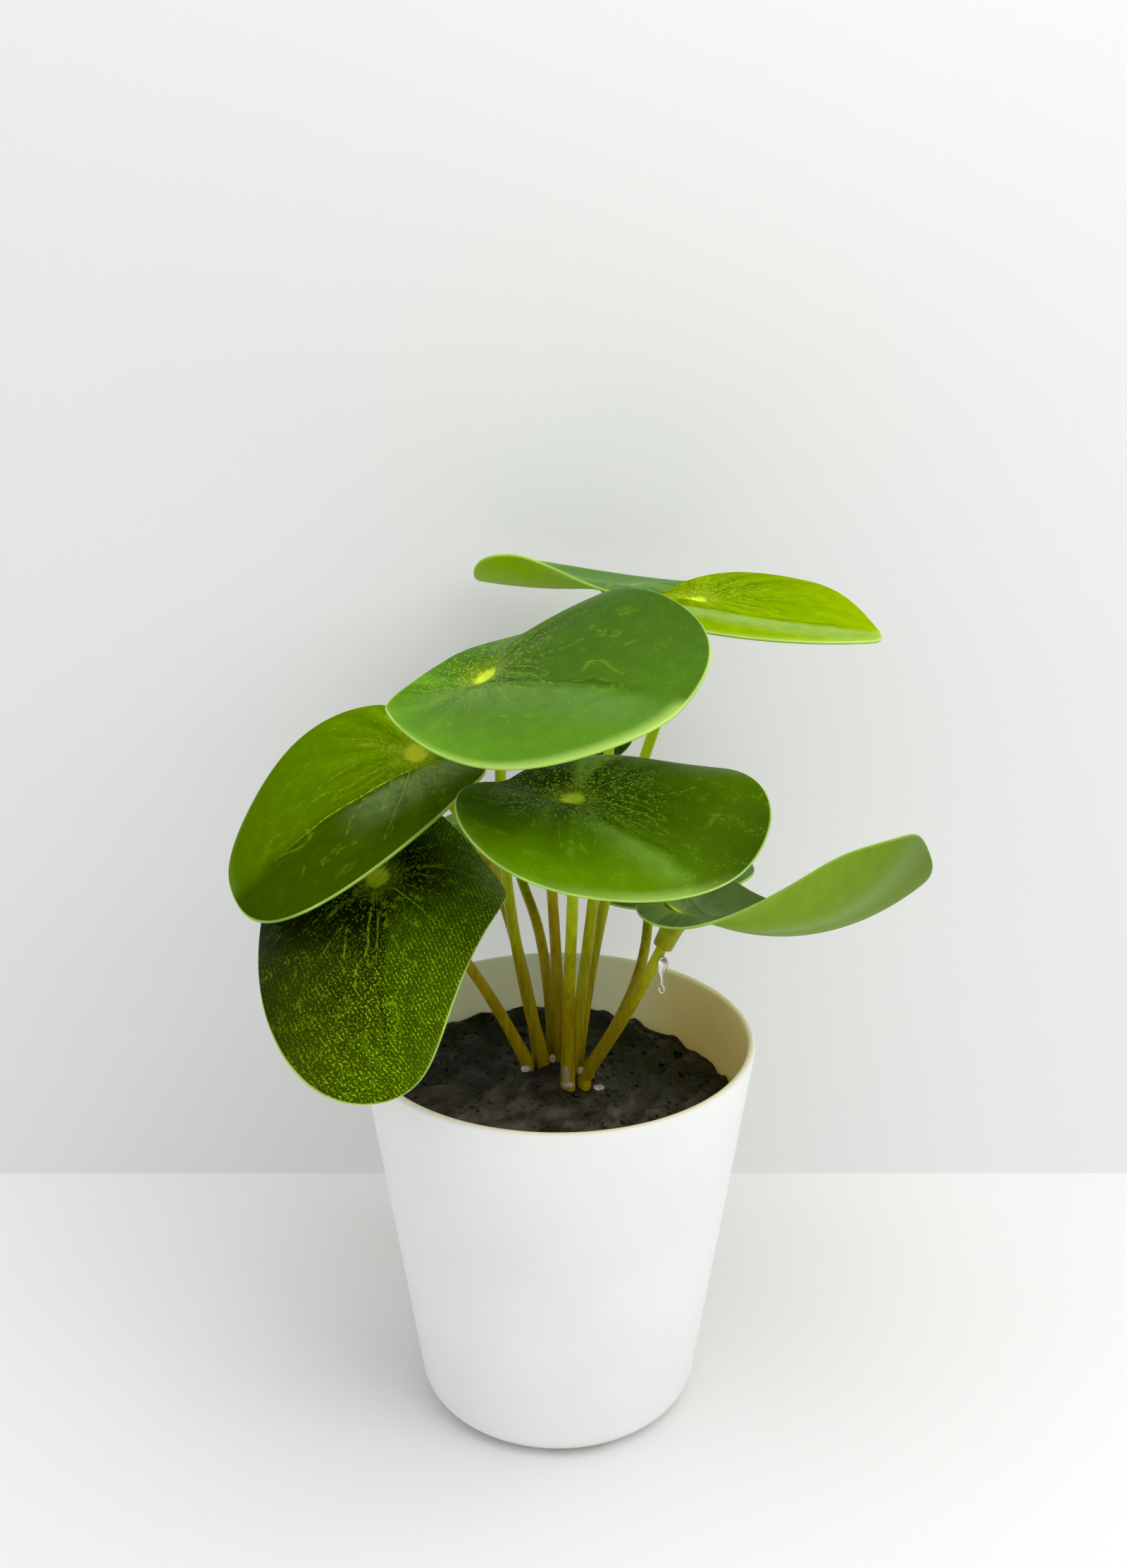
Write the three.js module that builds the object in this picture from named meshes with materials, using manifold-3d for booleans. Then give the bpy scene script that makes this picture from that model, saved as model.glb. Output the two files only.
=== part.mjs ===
// Potted pilea: a plain tapered pot filled with cast soil, ten round leaves on slender stems, a drip of glue.
// Millimetres, +Z up. The origin is the centre of the pot's foot, on the surface that the pot stands on.
import * as THREE from 'three';
import { mergeVertices } from 'three/addons/utils/BufferGeometryUtils.js';
import Module from 'manifold-3d';

const wasm = await Module();
wasm.setup();

// The pot
const POT_HEIGHT = 92;
const RIM_RADIUS = 45;
const BASE_RADIUS = 32; // where the straight outer wall would meet the ground
const FOOT_FILLET = 7;
const POT_WALL = 1.8;
const POT_FLOOR = 2.5;
const POT_SIDES = 48;
const NOTCH = { width: 12, depth: 10, height: 1.6, fromAxis: 24, count: 3, firstDegrees: -81 };

// The soil
const SOIL_EDGE = 75.5; // height of the top at the wall
const CROWN = { x: 0, y: 6, rise: 4.6, spread: 14 }; // low mound that the stems stand in
const BANK = { degrees: 125, rise: 4.5 }; // the soil climbs the wall on one side
const SOIL_RINGS = [0.1, 0.22, 0.34, 0.46, 0.58, 0.7, 0.84, 1];
const SOIL_SIDES = 36;
const SEAT_GAP = 0.3; // between pieces that touch

// The stems
const ROOT_HEIGHT = 68; // the foot of every stem, well down in the soil
const STEM_START = 80.8; // where a stem leaves its upright root and begins to lean
const ROOT_RADIUS = 1.4;
const TIP_RADIUS = 1.15;
const STEM_SIDES = 9;
const STEM_STEPS = 12;
const HOLE_RADIUS = 1.75;
const HOLE_SIDES = 12;

// The leaves
const BLADE_THICKNESS = 0.8;
const BLADE_RINGS = [0.13, 0.34, 0.58, 0.81, 1];
const BLADE_SPOKES = 28;
const DIMPLE = { depth: 1.5, radius: 4.5 }; // the navel, where the blade sits on its socket
const CREASE_SOFTNESS = 3;
const SOCKET = {
  length: 8,
  flareRadius: 3.2,
  neckRadius: 2.45,
  mouthRadius: 2.2,
  boreRadius: 1.55,
  boreDepth: 4.4,
  sunk: 0.25, // of its top below the middle of the blade, so that no part of it comes out above
};
const SOCKET_SIDES = 12;

// One row for each leaf. The blade is an oval around a navel that sits off its centre: length, width and
// offset give the oval, and egg widens it towards the tip. heading is the direction of the tip, counted from
// +X towards +Y, rise lifts the tip and roll lifts the left side. crease, curlLeft and curlRight fold the two
// halves about the midrib, tipArch and baseArch bend the midrib up, twist turns the tip, and ruffle waves the
// margin. Angles are in degrees. The stem starts at foot on the soil, leans by way of lean and comes into the
// socket straight over the length of reach.
const LEAVES = [
  {
    navel: [-30, -8, 163], heading: 202, rise: -19, roll: -30,
    length: 62, width: 59, offset: 19, egg: 0,
    crease: -3, curlLeft: 50, curlRight: -45, tipArch: -40, baseArch: -40,
    twist: 0, ruffle: -2.5, lobes: 3, phase: 200,
    stem: { foot: [-4.6, 12.4], lean: [-12.7, 15, 136], reach: 23 },
  },
  {
    navel: [-37.5, -25, 141.5], heading: 264, rise: -34, roll: 12,
    length: 72, width: 52, offset: 13, egg: -0.33,
    crease: 0, curlLeft: -48, curlRight: 5, tipArch: -40, baseArch: -35,
    twist: 0, ruffle: 7, lobes: 3, phase: 225,
    stem: { foot: [-7.1, 7], lean: [-23.4, 0.5, 120], reach: 21 },
  },
  {
    navel: [-15, -17, 182.5], heading: -52, rise: 15, roll: 30,
    length: 66, width: 61, offset: 21, egg: 0,
    crease: 10, curlLeft: -46, curlRight: 23, tipArch: -28, baseArch: 44,
    twist: 15, ruffle: -3.8, lobes: 3, phase: -20,
    stem: { foot: [-3.4, 8.2], lean: [-16.8, 5, 136], reach: 11 },
  },
  {
    navel: [3, -32, 161.5], heading: -28, rise: 0, roll: 6,
    length: 54, width: 67, offset: 12, egg: -0.4,
    crease: 22, curlLeft: -44, curlRight: -45, tipArch: -30, baseArch: -15,
    twist: -18, ruffle: -8.3, lobes: 2, phase: 197,
    stem: { foot: [2.3, -1], lean: [2, -2, 108], reach: 30 },
  },
  {
    navel: [13.5, 41, 187.5], heading: 127, rise: -18, roll: 7,
    length: 57, width: 58, offset: 17, egg: -0.6,
    crease: 0, curlLeft: 21, curlRight: 2, tipArch: 28, baseArch: -50,
    twist: -5, ruffle: -1, lobes: 2, phase: -25,
    stem: { foot: [3, 5], lean: [8, -1, 120], reach: 18 },
  },
  {
    navel: [30, 15.5, 190.5], heading: -35, rise: -0.5, roll: 1,
    length: 55, width: 57, offset: 17, egg: -0.6,
    crease: 18, curlLeft: -39, curlRight: -19, tipArch: -10, baseArch: -8,
    twist: 4, ruffle: 1.3, lobes: 3, phase: 107,
    stem: { foot: [4.4, 9], lean: [12.3, 17, 143], reach: 12 },
  },
  {
    navel: [26.5, -17, 130.5], heading: 5, rise: -31, roll: -16.5,
    length: 72.5, width: 58, offset: 28.5, egg: 0.4,
    crease: -5, curlLeft: 103, curlRight: 17, tipArch: 72, baseArch: 23,
    twist: -72, ruffle: 6.4, lobes: 3, phase: 46,
    stem: { foot: [6, 0.5], lean: [15, -8, 99], reach: 14 },
  },
  {
    navel: [-1, 38, 156], heading: 125, rise: 11, roll: 6,
    length: 50, width: 48, offset: 7, egg: 0,
    crease: 0, curlLeft: -15, curlRight: -15, tipArch: -15, baseArch: -20,
    twist: 0, ruffle: 1, lobes: 3, phase: 60,
    stem: { foot: [0.8, 10.5], lean: [-0.5, 6, 119], reach: 18 },
  },
  {
    navel: [22, 31, 120], heading: 80, rise: 1, roll: 0,
    length: 50, width: 49, offset: 8, egg: 0,
    crease: 0, curlLeft: -10, curlRight: -10, tipArch: -10, baseArch: -15,
    twist: 0, ruffle: 1, lobes: 3, phase: 100,
    stem: { foot: [7, 4.5], lean: [19.5, 8, 98.5], reach: 14 },
  },
  {
    navel: [-11.5, 41.5, 124.5], heading: 165, rise: -4, roll: -3,
    length: 56, width: 52, offset: 11, egg: 0,
    crease: 0, curlLeft: -8, curlRight: -8, tipArch: -25, baseArch: -5,
    twist: 0, ruffle: 1.2, lobes: 3, phase: 10,
    stem: { foot: [-1.2, 14.6], lean: [-3, 19, 114], reach: 13 },
  },
];

// The drip of glue: which leaf's socket it hangs from, where its top is beside the middle of the socket's
// mouth, and its radius at each height below that
const DRIP = { leaf: 6, aside: [0.1, -1.8, -1.85], sides: 10 };
const DRIP_PROFILE = [[0.8, -0.4], [1.1, -1.4], [0.95, -2.8], [0.45, -4], [0.3, -6.4], [0.45, -8]];
const DRIP_LENGTH = 8.8;

const radians = THREE.MathUtils.degToRad;

// A closed body from a geometry: only positions, shared vertices, no collapsed triangles
function toSolid(geometry) {
  geometry.deleteAttribute('normal');
  geometry.deleteAttribute('uv');
  const merged = mergeVertices(geometry, 1e-4);
  const index = Array.from(merged.index.array);
  const kept = [];
  for (let i = 0; i < index.length; i += 3) {
    const [a, b, c] = index.slice(i, i + 3);
    if (a !== b && b !== c && c !== a) {
      kept.push(a, b, c);
    }
  }
  const vertProperties = new Float32Array(merged.attributes.position.array);
  return new wasm.Manifold(new wasm.Mesh({ numProp: 3, vertProperties, triVerts: new Uint32Array(kept) }));
}

function toGeometry(solid) {
  const mesh = solid.getMesh();
  const geometry = new THREE.BufferGeometry();
  geometry.setAttribute('position', new THREE.BufferAttribute(new Float32Array(mesh.vertProperties), 3));
  geometry.setIndex(Array.from(mesh.triVerts));
  geometry.computeVertexNormals();
  return geometry;
}

function indexed(points, index) {
  const geometry = new THREE.BufferGeometry();
  const places = points.flatMap((point) => point.toArray());
  geometry.setAttribute('position', new THREE.Float32BufferAttribute(places, 3));
  geometry.setIndex(index);
  return geometry;
}

// The triangles of a web: point 0 in the middle, then the points of each ring around it, from the inside out
function webIndex(rings, count) {
  const index = [];
  for (let j = 0; j < count; j += 1) {
    const next = (j + 1) % count;
    index.push(0, 1 + j, 1 + next);
    for (let r = 0; r + 1 < rings; r += 1) {
      const near = 1 + r * count;
      const far = near + count;
      index.push(near + j, far + j, near + next);
      index.push(near + next, far + j, far + next);
    }
  }
  return index;
}

// A closed skin over rings of points that run from one end point to another
function loft(start, rings, end) {
  const count = rings[0].length;
  const points = [start, ...rings.flat(), end];
  const last = points.length - 1;
  const rim = last - count;
  const index = webIndex(rings.length, count);
  for (let j = 0; j < count; j += 1) {
    index.push(last, rim + ((j + 1) % count), rim + j);
  }
  return indexed(points, index);
}

function circle(centre, first, second, radius, sides) {
  return Array.from({ length: sides }, (_, j) => {
    const turn = (2 * Math.PI * j) / sides;
    return centre.clone()
      .addScaledVector(first, radius * Math.cos(turn))
      .addScaledVector(second, radius * Math.sin(turn));
  });
}

// A round rod along a line of points, from the top one down, with its own radius at each point
function rod(points, radii, sides) {
  const rings = points.map((point, i) => {
    const before = points[Math.max(i - 1, 0)];
    const after = points[Math.min(i + 1, points.length - 1)];
    const up = before.clone().sub(after).normalize();
    const first = new THREE.Vector3(1, 0, 0).addScaledVector(up, -up.x).normalize();
    const second = up.clone().cross(first);
    return circle(point, first, second, radii[i], sides);
  });
  return loft(points[0], rings, points[points.length - 1]);
}

// The pot

// The round from a flat floor into the tapered wall, whose line meets the floor at the given radius
function wallFillet(radiusAtFloor, floor, fillet, steps) {
  const taper = Math.atan((RIM_RADIUS - BASE_RADIUS) / POT_HEIGHT);
  const centre = radiusAtFloor + fillet * Math.tan(taper) - fillet / Math.cos(taper);
  return Array.from({ length: steps + 1 }, (_, i) => {
    const turn = -Math.PI / 2 + (Math.PI / 2 - taper) * (i / steps);
    return new THREE.Vector2(centre + fillet * Math.cos(turn), floor + fillet * (1 + Math.sin(turn)));
  });
}

function innerRadius(height) {
  const outer = BASE_RADIUS + (height * (RIM_RADIUS - BASE_RADIUS)) / POT_HEIGHT;
  return outer - POT_WALL;
}

function potGeometry() {
  const lip = POT_WALL / 2;
  const lipTop = Array.from({ length: 5 }, (_, i) => {
    const turn = (Math.PI * i) / 4;
    return new THREE.Vector2(
      RIM_RADIUS + lip * (Math.cos(turn) - 1),
      POT_HEIGHT + lip * (Math.sin(turn) - 1),
    );
  });
  const profile = [
    new THREE.Vector2(0, 0),
    ...wallFillet(BASE_RADIUS, 0, FOOT_FILLET, 4),
    ...lipTop,
    ...wallFillet(innerRadius(POT_FLOOR), POT_FLOOR, FOOT_FILLET - POT_WALL, 3).reverse(),
    new THREE.Vector2(0, POT_FLOOR),
  ];
  const body = toSolid(new THREE.LatheGeometry(profile, POT_SIDES).rotateX(Math.PI / 2));
  let pot = body;
  for (let i = 0; i < NOTCH.count; i += 1) {
    const notch = new THREE.BoxGeometry(NOTCH.depth, NOTCH.width, 2 * NOTCH.height);
    notch.translate(NOTCH.fromAxis + NOTCH.depth / 2, 0, 0);
    notch.rotateZ(radians(NOTCH.firstDegrees + (360 * i) / NOTCH.count));
    pot = pot.subtract(toSolid(notch));
  }
  return toGeometry(pot);
}

// The soil

function soilHeight(x, y) {
  const fromCrown = Math.hypot(x - CROWN.x, y - CROWN.y) / CROWN.spread;
  const out = Math.hypot(x, y) / RIM_RADIUS;
  const towardsBank = Math.max(0, Math.cos(Math.atan2(y, x) - radians(BANK.degrees)));
  const lumps = 0.7 * Math.sin(0.42 * x + 1) * Math.sin(0.38 * y + 2) + 0.4 * Math.sin(0.8 * x - 0.55 * y);
  const steady = 1 - Math.exp(-fromCrown * fromCrown);
  return SOIL_EDGE + CROWN.rise * (1 - steady) + BANK.rise * towardsBank * out * out + lumps * steady;
}

function soilGeometry() {
  const fillet = wallFillet(innerRadius(POT_FLOOR), POT_FLOOR, FOOT_FILLET - POT_WALL, 2);
  const side = fillet.map((p) => ({ radius: p.x - SEAT_GAP, height: p.y + SEAT_GAP }));
  const ringAt = (radius, heightOf) => Array.from({ length: SOIL_SIDES }, (_, j) => {
    const turn = (2 * Math.PI * j) / SOIL_SIDES;
    const x = radius * Math.cos(turn);
    const y = radius * Math.sin(turn);
    return new THREE.Vector3(x, y, heightOf(x, y));
  });
  // The facets of the pot's wall cut in a little between its corners, and the soil stays inside them
  const flat = Math.cos(Math.PI / POT_SIDES);
  const edge = innerRadius(SOIL_EDGE) * flat - SEAT_GAP;
  const top = SOIL_RINGS.map((share) => ringAt(share * edge, soilHeight));
  const wall = side.reverse().map(({ radius, height }) => ringAt(radius * flat, () => height));
  const start = new THREE.Vector3(0, 0, soilHeight(0, 0));
  const end = new THREE.Vector3(0, 0, POT_FLOOR + SEAT_GAP);
  let soil = toSolid(loft(start, [...top, ...wall], end));
  for (const leaf of LEAVES) {
    const [x, y] = leaf.stem.foot;
    const depth = 2 * (STEM_START - ROOT_HEIGHT);
    const hole = new THREE.CylinderGeometry(HOLE_RADIUS, HOLE_RADIUS, depth, HOLE_SIDES);
    hole.rotateX(Math.PI / 2).translate(x, y, ROOT_HEIGHT - SEAT_GAP + depth / 2);
    soil = soil.subtract(toSolid(hole));
  }
  return toGeometry(soil);
}

// The leaves

// The blade's own directions: along the midrib to the tip, to the left of it, and up out of the blade
function bladeAxes(leaf) {
  const heading = radians(leaf.heading);
  const rise = radians(leaf.rise);
  const roll = radians(leaf.roll);
  const along = new THREE.Vector3(
    Math.cos(heading) * Math.cos(rise),
    Math.sin(heading) * Math.cos(rise),
    Math.sin(rise),
  );
  const level = new THREE.Vector3(-Math.sin(heading), Math.cos(heading), 0);
  const upright = along.clone().cross(level);
  const left = level.clone().multiplyScalar(Math.cos(roll)).addScaledVector(upright, Math.sin(roll));
  return { along, left, up: along.clone().cross(left) };
}

// Length and height of an arc that leaves the axis level and bends by the same amount on every millimetre
function bend(length, perMillimetre) {
  if (Math.abs(perMillimetre) < 1e-6) {
    return [length, 0];
  }
  const turn = length * perMillimetre;
  return [Math.sin(turn) / perMillimetre, (1 - Math.cos(turn)) / perMillimetre];
}

// A point of the blade's middle surface: u runs along the midrib and v to the left, both measured on it.
// turn and share say where the point is between the navel and the margin, for the waves
function bladePoint(leaf, u, v, turn, share) {
  const half = leaf.length / 2;
  const across = Math.abs(v);
  const curl = radians(v > 0 ? leaf.curlLeft : leaf.curlRight) / (leaf.width / 2);
  const [out, lift] = bend(across, curl);
  const soft = (Math.sqrt(across * across + CREASE_SOFTNESS ** 2) - CREASE_SOFTNESS) / Math.max(across, 1e-9);
  const fold = radians(leaf.crease) * soft;
  const side = Math.sign(v) * (out * Math.cos(fold) - lift * Math.sin(fold));
  const wave = leaf.ruffle * share ** 2.5 * Math.sin(leaf.lobes * turn + radians(leaf.phase));
  const dimple = DIMPLE.depth * Math.exp(-(u * u + v * v) / DIMPLE.radius ** 2);
  const height = out * Math.sin(fold) + lift * Math.cos(fold) + wave - dimple;
  const tipBend = radians(leaf.tipArch) / (half + leaf.offset);
  const baseBend = radians(leaf.baseArch) / (half - leaf.offset);
  const arch = u > 0 ? tipBend : baseBend;
  const [forward, climb] = bend(Math.abs(u), arch);
  const slope = arch * u;
  const twist = radians(leaf.twist) * (u / leaf.length);
  const sideways = side * Math.cos(twist) - height * Math.sin(twist);
  const normal = side * Math.sin(twist) + height * Math.cos(twist);
  const { along, left, up } = bladeAxes(leaf);
  return new THREE.Vector3(...leaf.navel)
    .addScaledVector(along, Math.sign(u) * forward - normal * Math.sin(slope))
    .addScaledVector(left, sideways)
    .addScaledVector(up, climb + normal * Math.cos(slope));
}

function bladeSolid(leaf) {
  const rings = BLADE_RINGS.map((share) => Array.from({ length: BLADE_SPOKES }, (_, j) => {
    const turn = (2 * Math.PI * j) / BLADE_SPOKES;
    const u = leaf.offset + (leaf.length / 2) * Math.cos(turn);
    const v = (leaf.width / 2) * Math.sin(turn) * (1 + leaf.egg * Math.cos(turn));
    return bladePoint(leaf, share * u, share * v, turn, share);
  }));
  const middle = [bladePoint(leaf, 0, 0, 0, 0), ...rings.flat()];
  const web = webIndex(BLADE_RINGS.length, BLADE_SPOKES);
  const sheet = indexed(middle, web);
  sheet.computeVertexNormals();
  const { normal } = sheet.attributes;
  const face = (offset) => middle.map((point, i) => (
    point.clone().addScaledVector(new THREE.Vector3().fromBufferAttribute(normal, i), offset)
  ));
  const points = [...face(BLADE_THICKNESS / 2), ...face(-BLADE_THICKNESS / 2)];
  const under = middle.length;
  const index = [...web];
  for (let i = 0; i < web.length; i += 3) {
    index.push(under + web[i], under + web[i + 2], under + web[i + 1]);
  }
  const margin = under - BLADE_SPOKES;
  for (let j = 0; j < BLADE_SPOKES; j += 1) {
    const here = margin + j;
    const next = margin + ((j + 1) % BLADE_SPOKES);
    index.push(here, under + here, next);
    index.push(next, under + here, under + next);
  }
  return toSolid(indexed(points, index));
}

// Where a leaf's socket points: half way between the blade's own up and the line that the stem comes in on
function socketAxis(leaf) {
  const { up } = bladeAxes(leaf);
  const comingIn = bladePoint(leaf, 0, 0, 0, 0).sub(new THREE.Vector3(...leaf.stem.lean)).normalize();
  return up.add(comingIn).normalize();
}

// The moulded socket under the navel: its top ring lies inside the blade, and its bore opens downwards
function socketSolid(leaf) {
  const axis = socketAxis(leaf);
  const { along } = bladeAxes(leaf);
  const first = along.addScaledVector(axis, -along.dot(axis)).normalize();
  const second = axis.clone().cross(first);
  const navel = bladePoint(leaf, 0, 0, 0, 0);
  const below = (distance) => navel.clone().addScaledVector(axis, -distance);
  const seat = Array.from({ length: SOCKET_SIDES }, (_, j) => {
    const turn = (2 * Math.PI * j) / SOCKET_SIDES;
    const u = SOCKET.flareRadius * Math.cos(turn);
    const v = SOCKET.flareRadius * Math.sin(turn);
    return bladePoint(leaf, u, v, turn, 0).addScaledVector(axis, -SOCKET.sunk);
  });
  const ring = (distance, radius) => circle(below(distance), first, second, radius, SOCKET_SIDES);
  const boreEnd = SOCKET.length - SOCKET.boreDepth;
  const rings = [
    seat,
    ring(3, SOCKET.neckRadius),
    ring(SOCKET.length, SOCKET.mouthRadius),
    ring(SOCKET.length, SOCKET.boreRadius),
    ring(boreEnd, SOCKET.boreRadius),
  ];
  return toSolid(loft(below(SOCKET.sunk), rings, below(boreEnd)));
}

function leafGeometry(leaf) {
  return toGeometry(bladeSolid(leaf).add(socketSolid(leaf)));
}

// The stems

function stemLine(leaf) {
  const [x, y] = leaf.stem.foot;
  const axis = socketAxis(leaf);
  const navel = bladePoint(leaf, 0, 0, 0, 0);
  const below = (distance) => navel.clone().addScaledVector(axis, -distance);
  const tip = SOCKET.length - SOCKET.boreDepth + SEAT_GAP;
  const curve = new THREE.CubicBezierCurve3(
    below(SOCKET.length),
    below(tip + leaf.stem.reach),
    new THREE.Vector3(...leaf.stem.lean),
    new THREE.Vector3(x, y, STEM_START),
  );
  return [below(tip), ...curve.getSpacedPoints(STEM_STEPS), new THREE.Vector3(x, y, ROOT_HEIGHT)];
}

function stemGeometry(leaf) {
  const points = stemLine(leaf);
  const last = points.length - 2;
  const radii = points.map((_, i) => THREE.MathUtils.lerp(TIP_RADIUS, ROOT_RADIUS, Math.min(i / last, 1)));
  return toGeometry(toSolid(rod(points, radii, STEM_SIDES)));
}

// The glue

function dripGeometry() {
  const leaf = LEAVES[DRIP.leaf];
  const mouth = bladePoint(leaf, 0, 0, 0, 0).addScaledVector(socketAxis(leaf), -SOCKET.length);
  const top = mouth.add(new THREE.Vector3(...DRIP.aside));
  const across = new THREE.Vector3(1, 0, 0);
  const deep = new THREE.Vector3(0, 1, 0);
  const down = (distance) => top.clone().add(new THREE.Vector3(0, 0, distance));
  const rings = DRIP_PROFILE.map(([radius, z]) => circle(down(z), across, deep, radius, DRIP.sides));
  return toGeometry(toSolid(loft(top, rings, down(-DRIP_LENGTH))));
}

const FINISHES = {
  pot: new THREE.MeshStandardMaterial({ color: '#eeece6', roughness: 0.45, metalness: 0 }),
  soil: new THREE.MeshStandardMaterial({ color: '#17161a', roughness: 0.5, metalness: 0 }),
  leaf: new THREE.MeshStandardMaterial({ color: '#3f7d06', roughness: 0.42, metalness: 0 }),
  stem: new THREE.MeshStandardMaterial({ color: '#7d6d12', roughness: 0.4, metalness: 0 }),
  glue: new THREE.MeshStandardMaterial({ color: '#e9ece8', roughness: 0.08, metalness: 0 }),
};

const plant = new THREE.Group();

function addPiece(name, geometry, finish) {
  const mesh = new THREE.Mesh(geometry, finish);
  mesh.name = name;
  plant.add(mesh);
}

addPiece('pot', potGeometry(), FINISHES.pot);
addPiece('soil', soilGeometry(), FINISHES.soil);
LEAVES.forEach((leaf, i) => {
  addPiece(`leaf_${i + 1}`, leafGeometry(leaf), FINISHES.leaf);
  addPiece(`stem_${i + 1}`, stemGeometry(leaf), FINISHES.stem);
});
addPiece('glue_drip', dripGeometry(), FINISHES.glue);

export default plant;
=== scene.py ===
import math

import bmesh
import bpy
import numpy as np
from bpy.props import FloatProperty, FloatVectorProperty, IntProperty, PointerProperty
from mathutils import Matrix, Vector, noise


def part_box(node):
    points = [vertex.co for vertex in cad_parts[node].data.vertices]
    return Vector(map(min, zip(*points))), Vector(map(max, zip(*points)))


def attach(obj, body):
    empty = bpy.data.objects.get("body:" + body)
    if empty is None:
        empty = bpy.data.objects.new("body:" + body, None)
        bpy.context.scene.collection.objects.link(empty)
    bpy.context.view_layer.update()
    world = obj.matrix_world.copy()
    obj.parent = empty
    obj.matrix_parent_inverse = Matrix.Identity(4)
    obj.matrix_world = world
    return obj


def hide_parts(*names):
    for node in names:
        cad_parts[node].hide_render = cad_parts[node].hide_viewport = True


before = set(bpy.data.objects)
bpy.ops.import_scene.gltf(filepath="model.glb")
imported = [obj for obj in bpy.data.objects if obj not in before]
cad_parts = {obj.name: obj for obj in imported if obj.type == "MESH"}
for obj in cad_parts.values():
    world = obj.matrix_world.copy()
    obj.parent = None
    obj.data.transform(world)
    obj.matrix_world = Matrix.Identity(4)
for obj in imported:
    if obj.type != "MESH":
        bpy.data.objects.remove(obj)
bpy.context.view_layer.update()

bl_info = {
    "name": "Potted pilea",
    "version": (1, 0, 0),
    "blender": (4, 5, 0),
    "location": "3D View > Sidebar > Pilea",
    "description": "Dresses the potted pilea's frame with fine leaves, stems, soil, pot and glue",
    "category": "Object",
}

MM = 0.001
FULL_TURN = 2 * math.pi
ROOT = "root"
POT_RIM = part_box("pot")[1].x
POT_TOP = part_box("pot")[1].z
SEAT_GAP = 0.3 * MM


def new_leaf(**own):
    """Where nothing else is said, a leaf is an even oval without fold or twist and has three waves"""
    return dict(egg=0, crease=0, twist=0, lobes=3) | own


# Every leaf in millimetres and degrees: the blade around its navel, its tilt, its folds and waves, and the
# way its stem takes. heading counts from +X towards +Y, and the left is the side towards which it grows.
# offset is how far the oval's middle lies from the navel towards the tip, and egg widens the oval towards the
# tip. curl is the bend to the left and to the right, arch the bend to the tip and to the base. foot is where
# the stem stands, and lean and reach pull its line as handles do. look names the blade's print with the light
# and shade painted into it, and green is how far down the stem its green runs.
LEAVES = [
    new_leaf(
        navel=(-30, -8, 163), heading=202, rise=-19, roll=-30, length=62, width=59, offset=19,
        crease=-3, curl=(50, -45), arch=(-40, -40), ruffle=-2.5, phase=200,
        foot=(-4.6, 12.4), lean=(-12.7, 15, 136), reach=23, look="bright", green=0.3,
    ),
    new_leaf(
        navel=(-37.5, -25, 141.5), heading=264, rise=-34, roll=12, length=72, width=52, offset=13, egg=-0.33,
        curl=(-48, 5), arch=(-40, -35), ruffle=7, phase=225,
        foot=(-7.1, 7), lean=(-23.4, 0.5, 120), reach=21, look="speckled", green=0.1,
    ),
    new_leaf(
        navel=(-15, -17, 182.5), heading=-52, rise=15, roll=30, length=66, width=61, offset=21,
        crease=10, curl=(-46, 23), arch=(-28, 44), twist=15, ruffle=-3.8, phase=-20,
        foot=(-3.4, 8.2), lean=(-16.8, 5, 136), reach=11, look="fresh", green=0.6,
    ),
    new_leaf(
        navel=(3, -32, 161.5), heading=-28, rise=0, roll=6, length=54, width=67, offset=12, egg=-0.4,
        crease=22, curl=(-44, -45), arch=(-30, -15), twist=-18, ruffle=-8.3, lobes=2, phase=197,
        foot=(2.3, -1), lean=(2, -2, 108), reach=30, look="deep", green=0.5,
    ),
    new_leaf(
        navel=(13.5, 41, 187.5), heading=127, rise=-18, roll=7, length=57, width=58, offset=17, egg=-0.6,
        curl=(21, 2), arch=(28, -50), twist=-5, ruffle=-1, lobes=2, phase=-25,
        foot=(3, 5), lean=(8, -1, 120), reach=18, look="pale", green=0.7,
    ),
    new_leaf(
        navel=(30, 15.5, 190.5), heading=-35, rise=-0.5, roll=1, length=55, width=57, offset=17, egg=-0.6,
        crease=18, curl=(-39, -19), arch=(-10, -8), twist=4, ruffle=1.3, phase=107,
        foot=(4.4, 9), lean=(12.3, 17, 143), reach=12, look="sunlit", green=0.7,
    ),
    new_leaf(
        navel=(26.5, -17, 130.5), heading=5, rise=-31, roll=-16.5, length=72.5, width=58, offset=28.5,
        egg=0.4, crease=-5, curl=(103, 17), arch=(72, 23), twist=-72, ruffle=6.4, phase=46,
        foot=(6, 0.5), lean=(15, -8, 99), reach=14, look="shaded", green=0.2,
    ),
    new_leaf(
        navel=(-1, 38, 156), heading=125, rise=11, roll=6, length=50, width=48, offset=7,
        curl=(-15, -15), arch=(-15, -20), ruffle=1, phase=60,
        foot=(0.8, 10.5), lean=(-0.5, 6, 119), reach=18, look="speckled", green=0.3,
    ),
    new_leaf(
        navel=(22, 31, 120), heading=80, rise=1, roll=0, length=50, width=49, offset=8,
        curl=(-10, -10), arch=(-10, -15), ruffle=1, phase=100,
        foot=(7, 4.5), lean=(19.5, 8, 98.5), reach=14, look="pale", green=0.2,
    ),
    new_leaf(
        navel=(-11.5, 41.5, 124.5), heading=165, rise=-4, roll=-3, length=56, width=52, offset=11,
        curl=(-8, -8), arch=(-25, -5), ruffle=1.2, phase=10,
        foot=(-1.2, 14.6), lean=(-3, 19, 114), reach=13, look="deep", green=0.2,
    ),
]


def new_look(**own):
    """Where nothing else is said, the halves are alike and there is no streak, slope or darker end"""
    return dict(crease=(0, 0), left=1.0, right=1.0, soft=4, ends=0.0, slope=(0.0, 0.0), streak=0.0) | own
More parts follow.
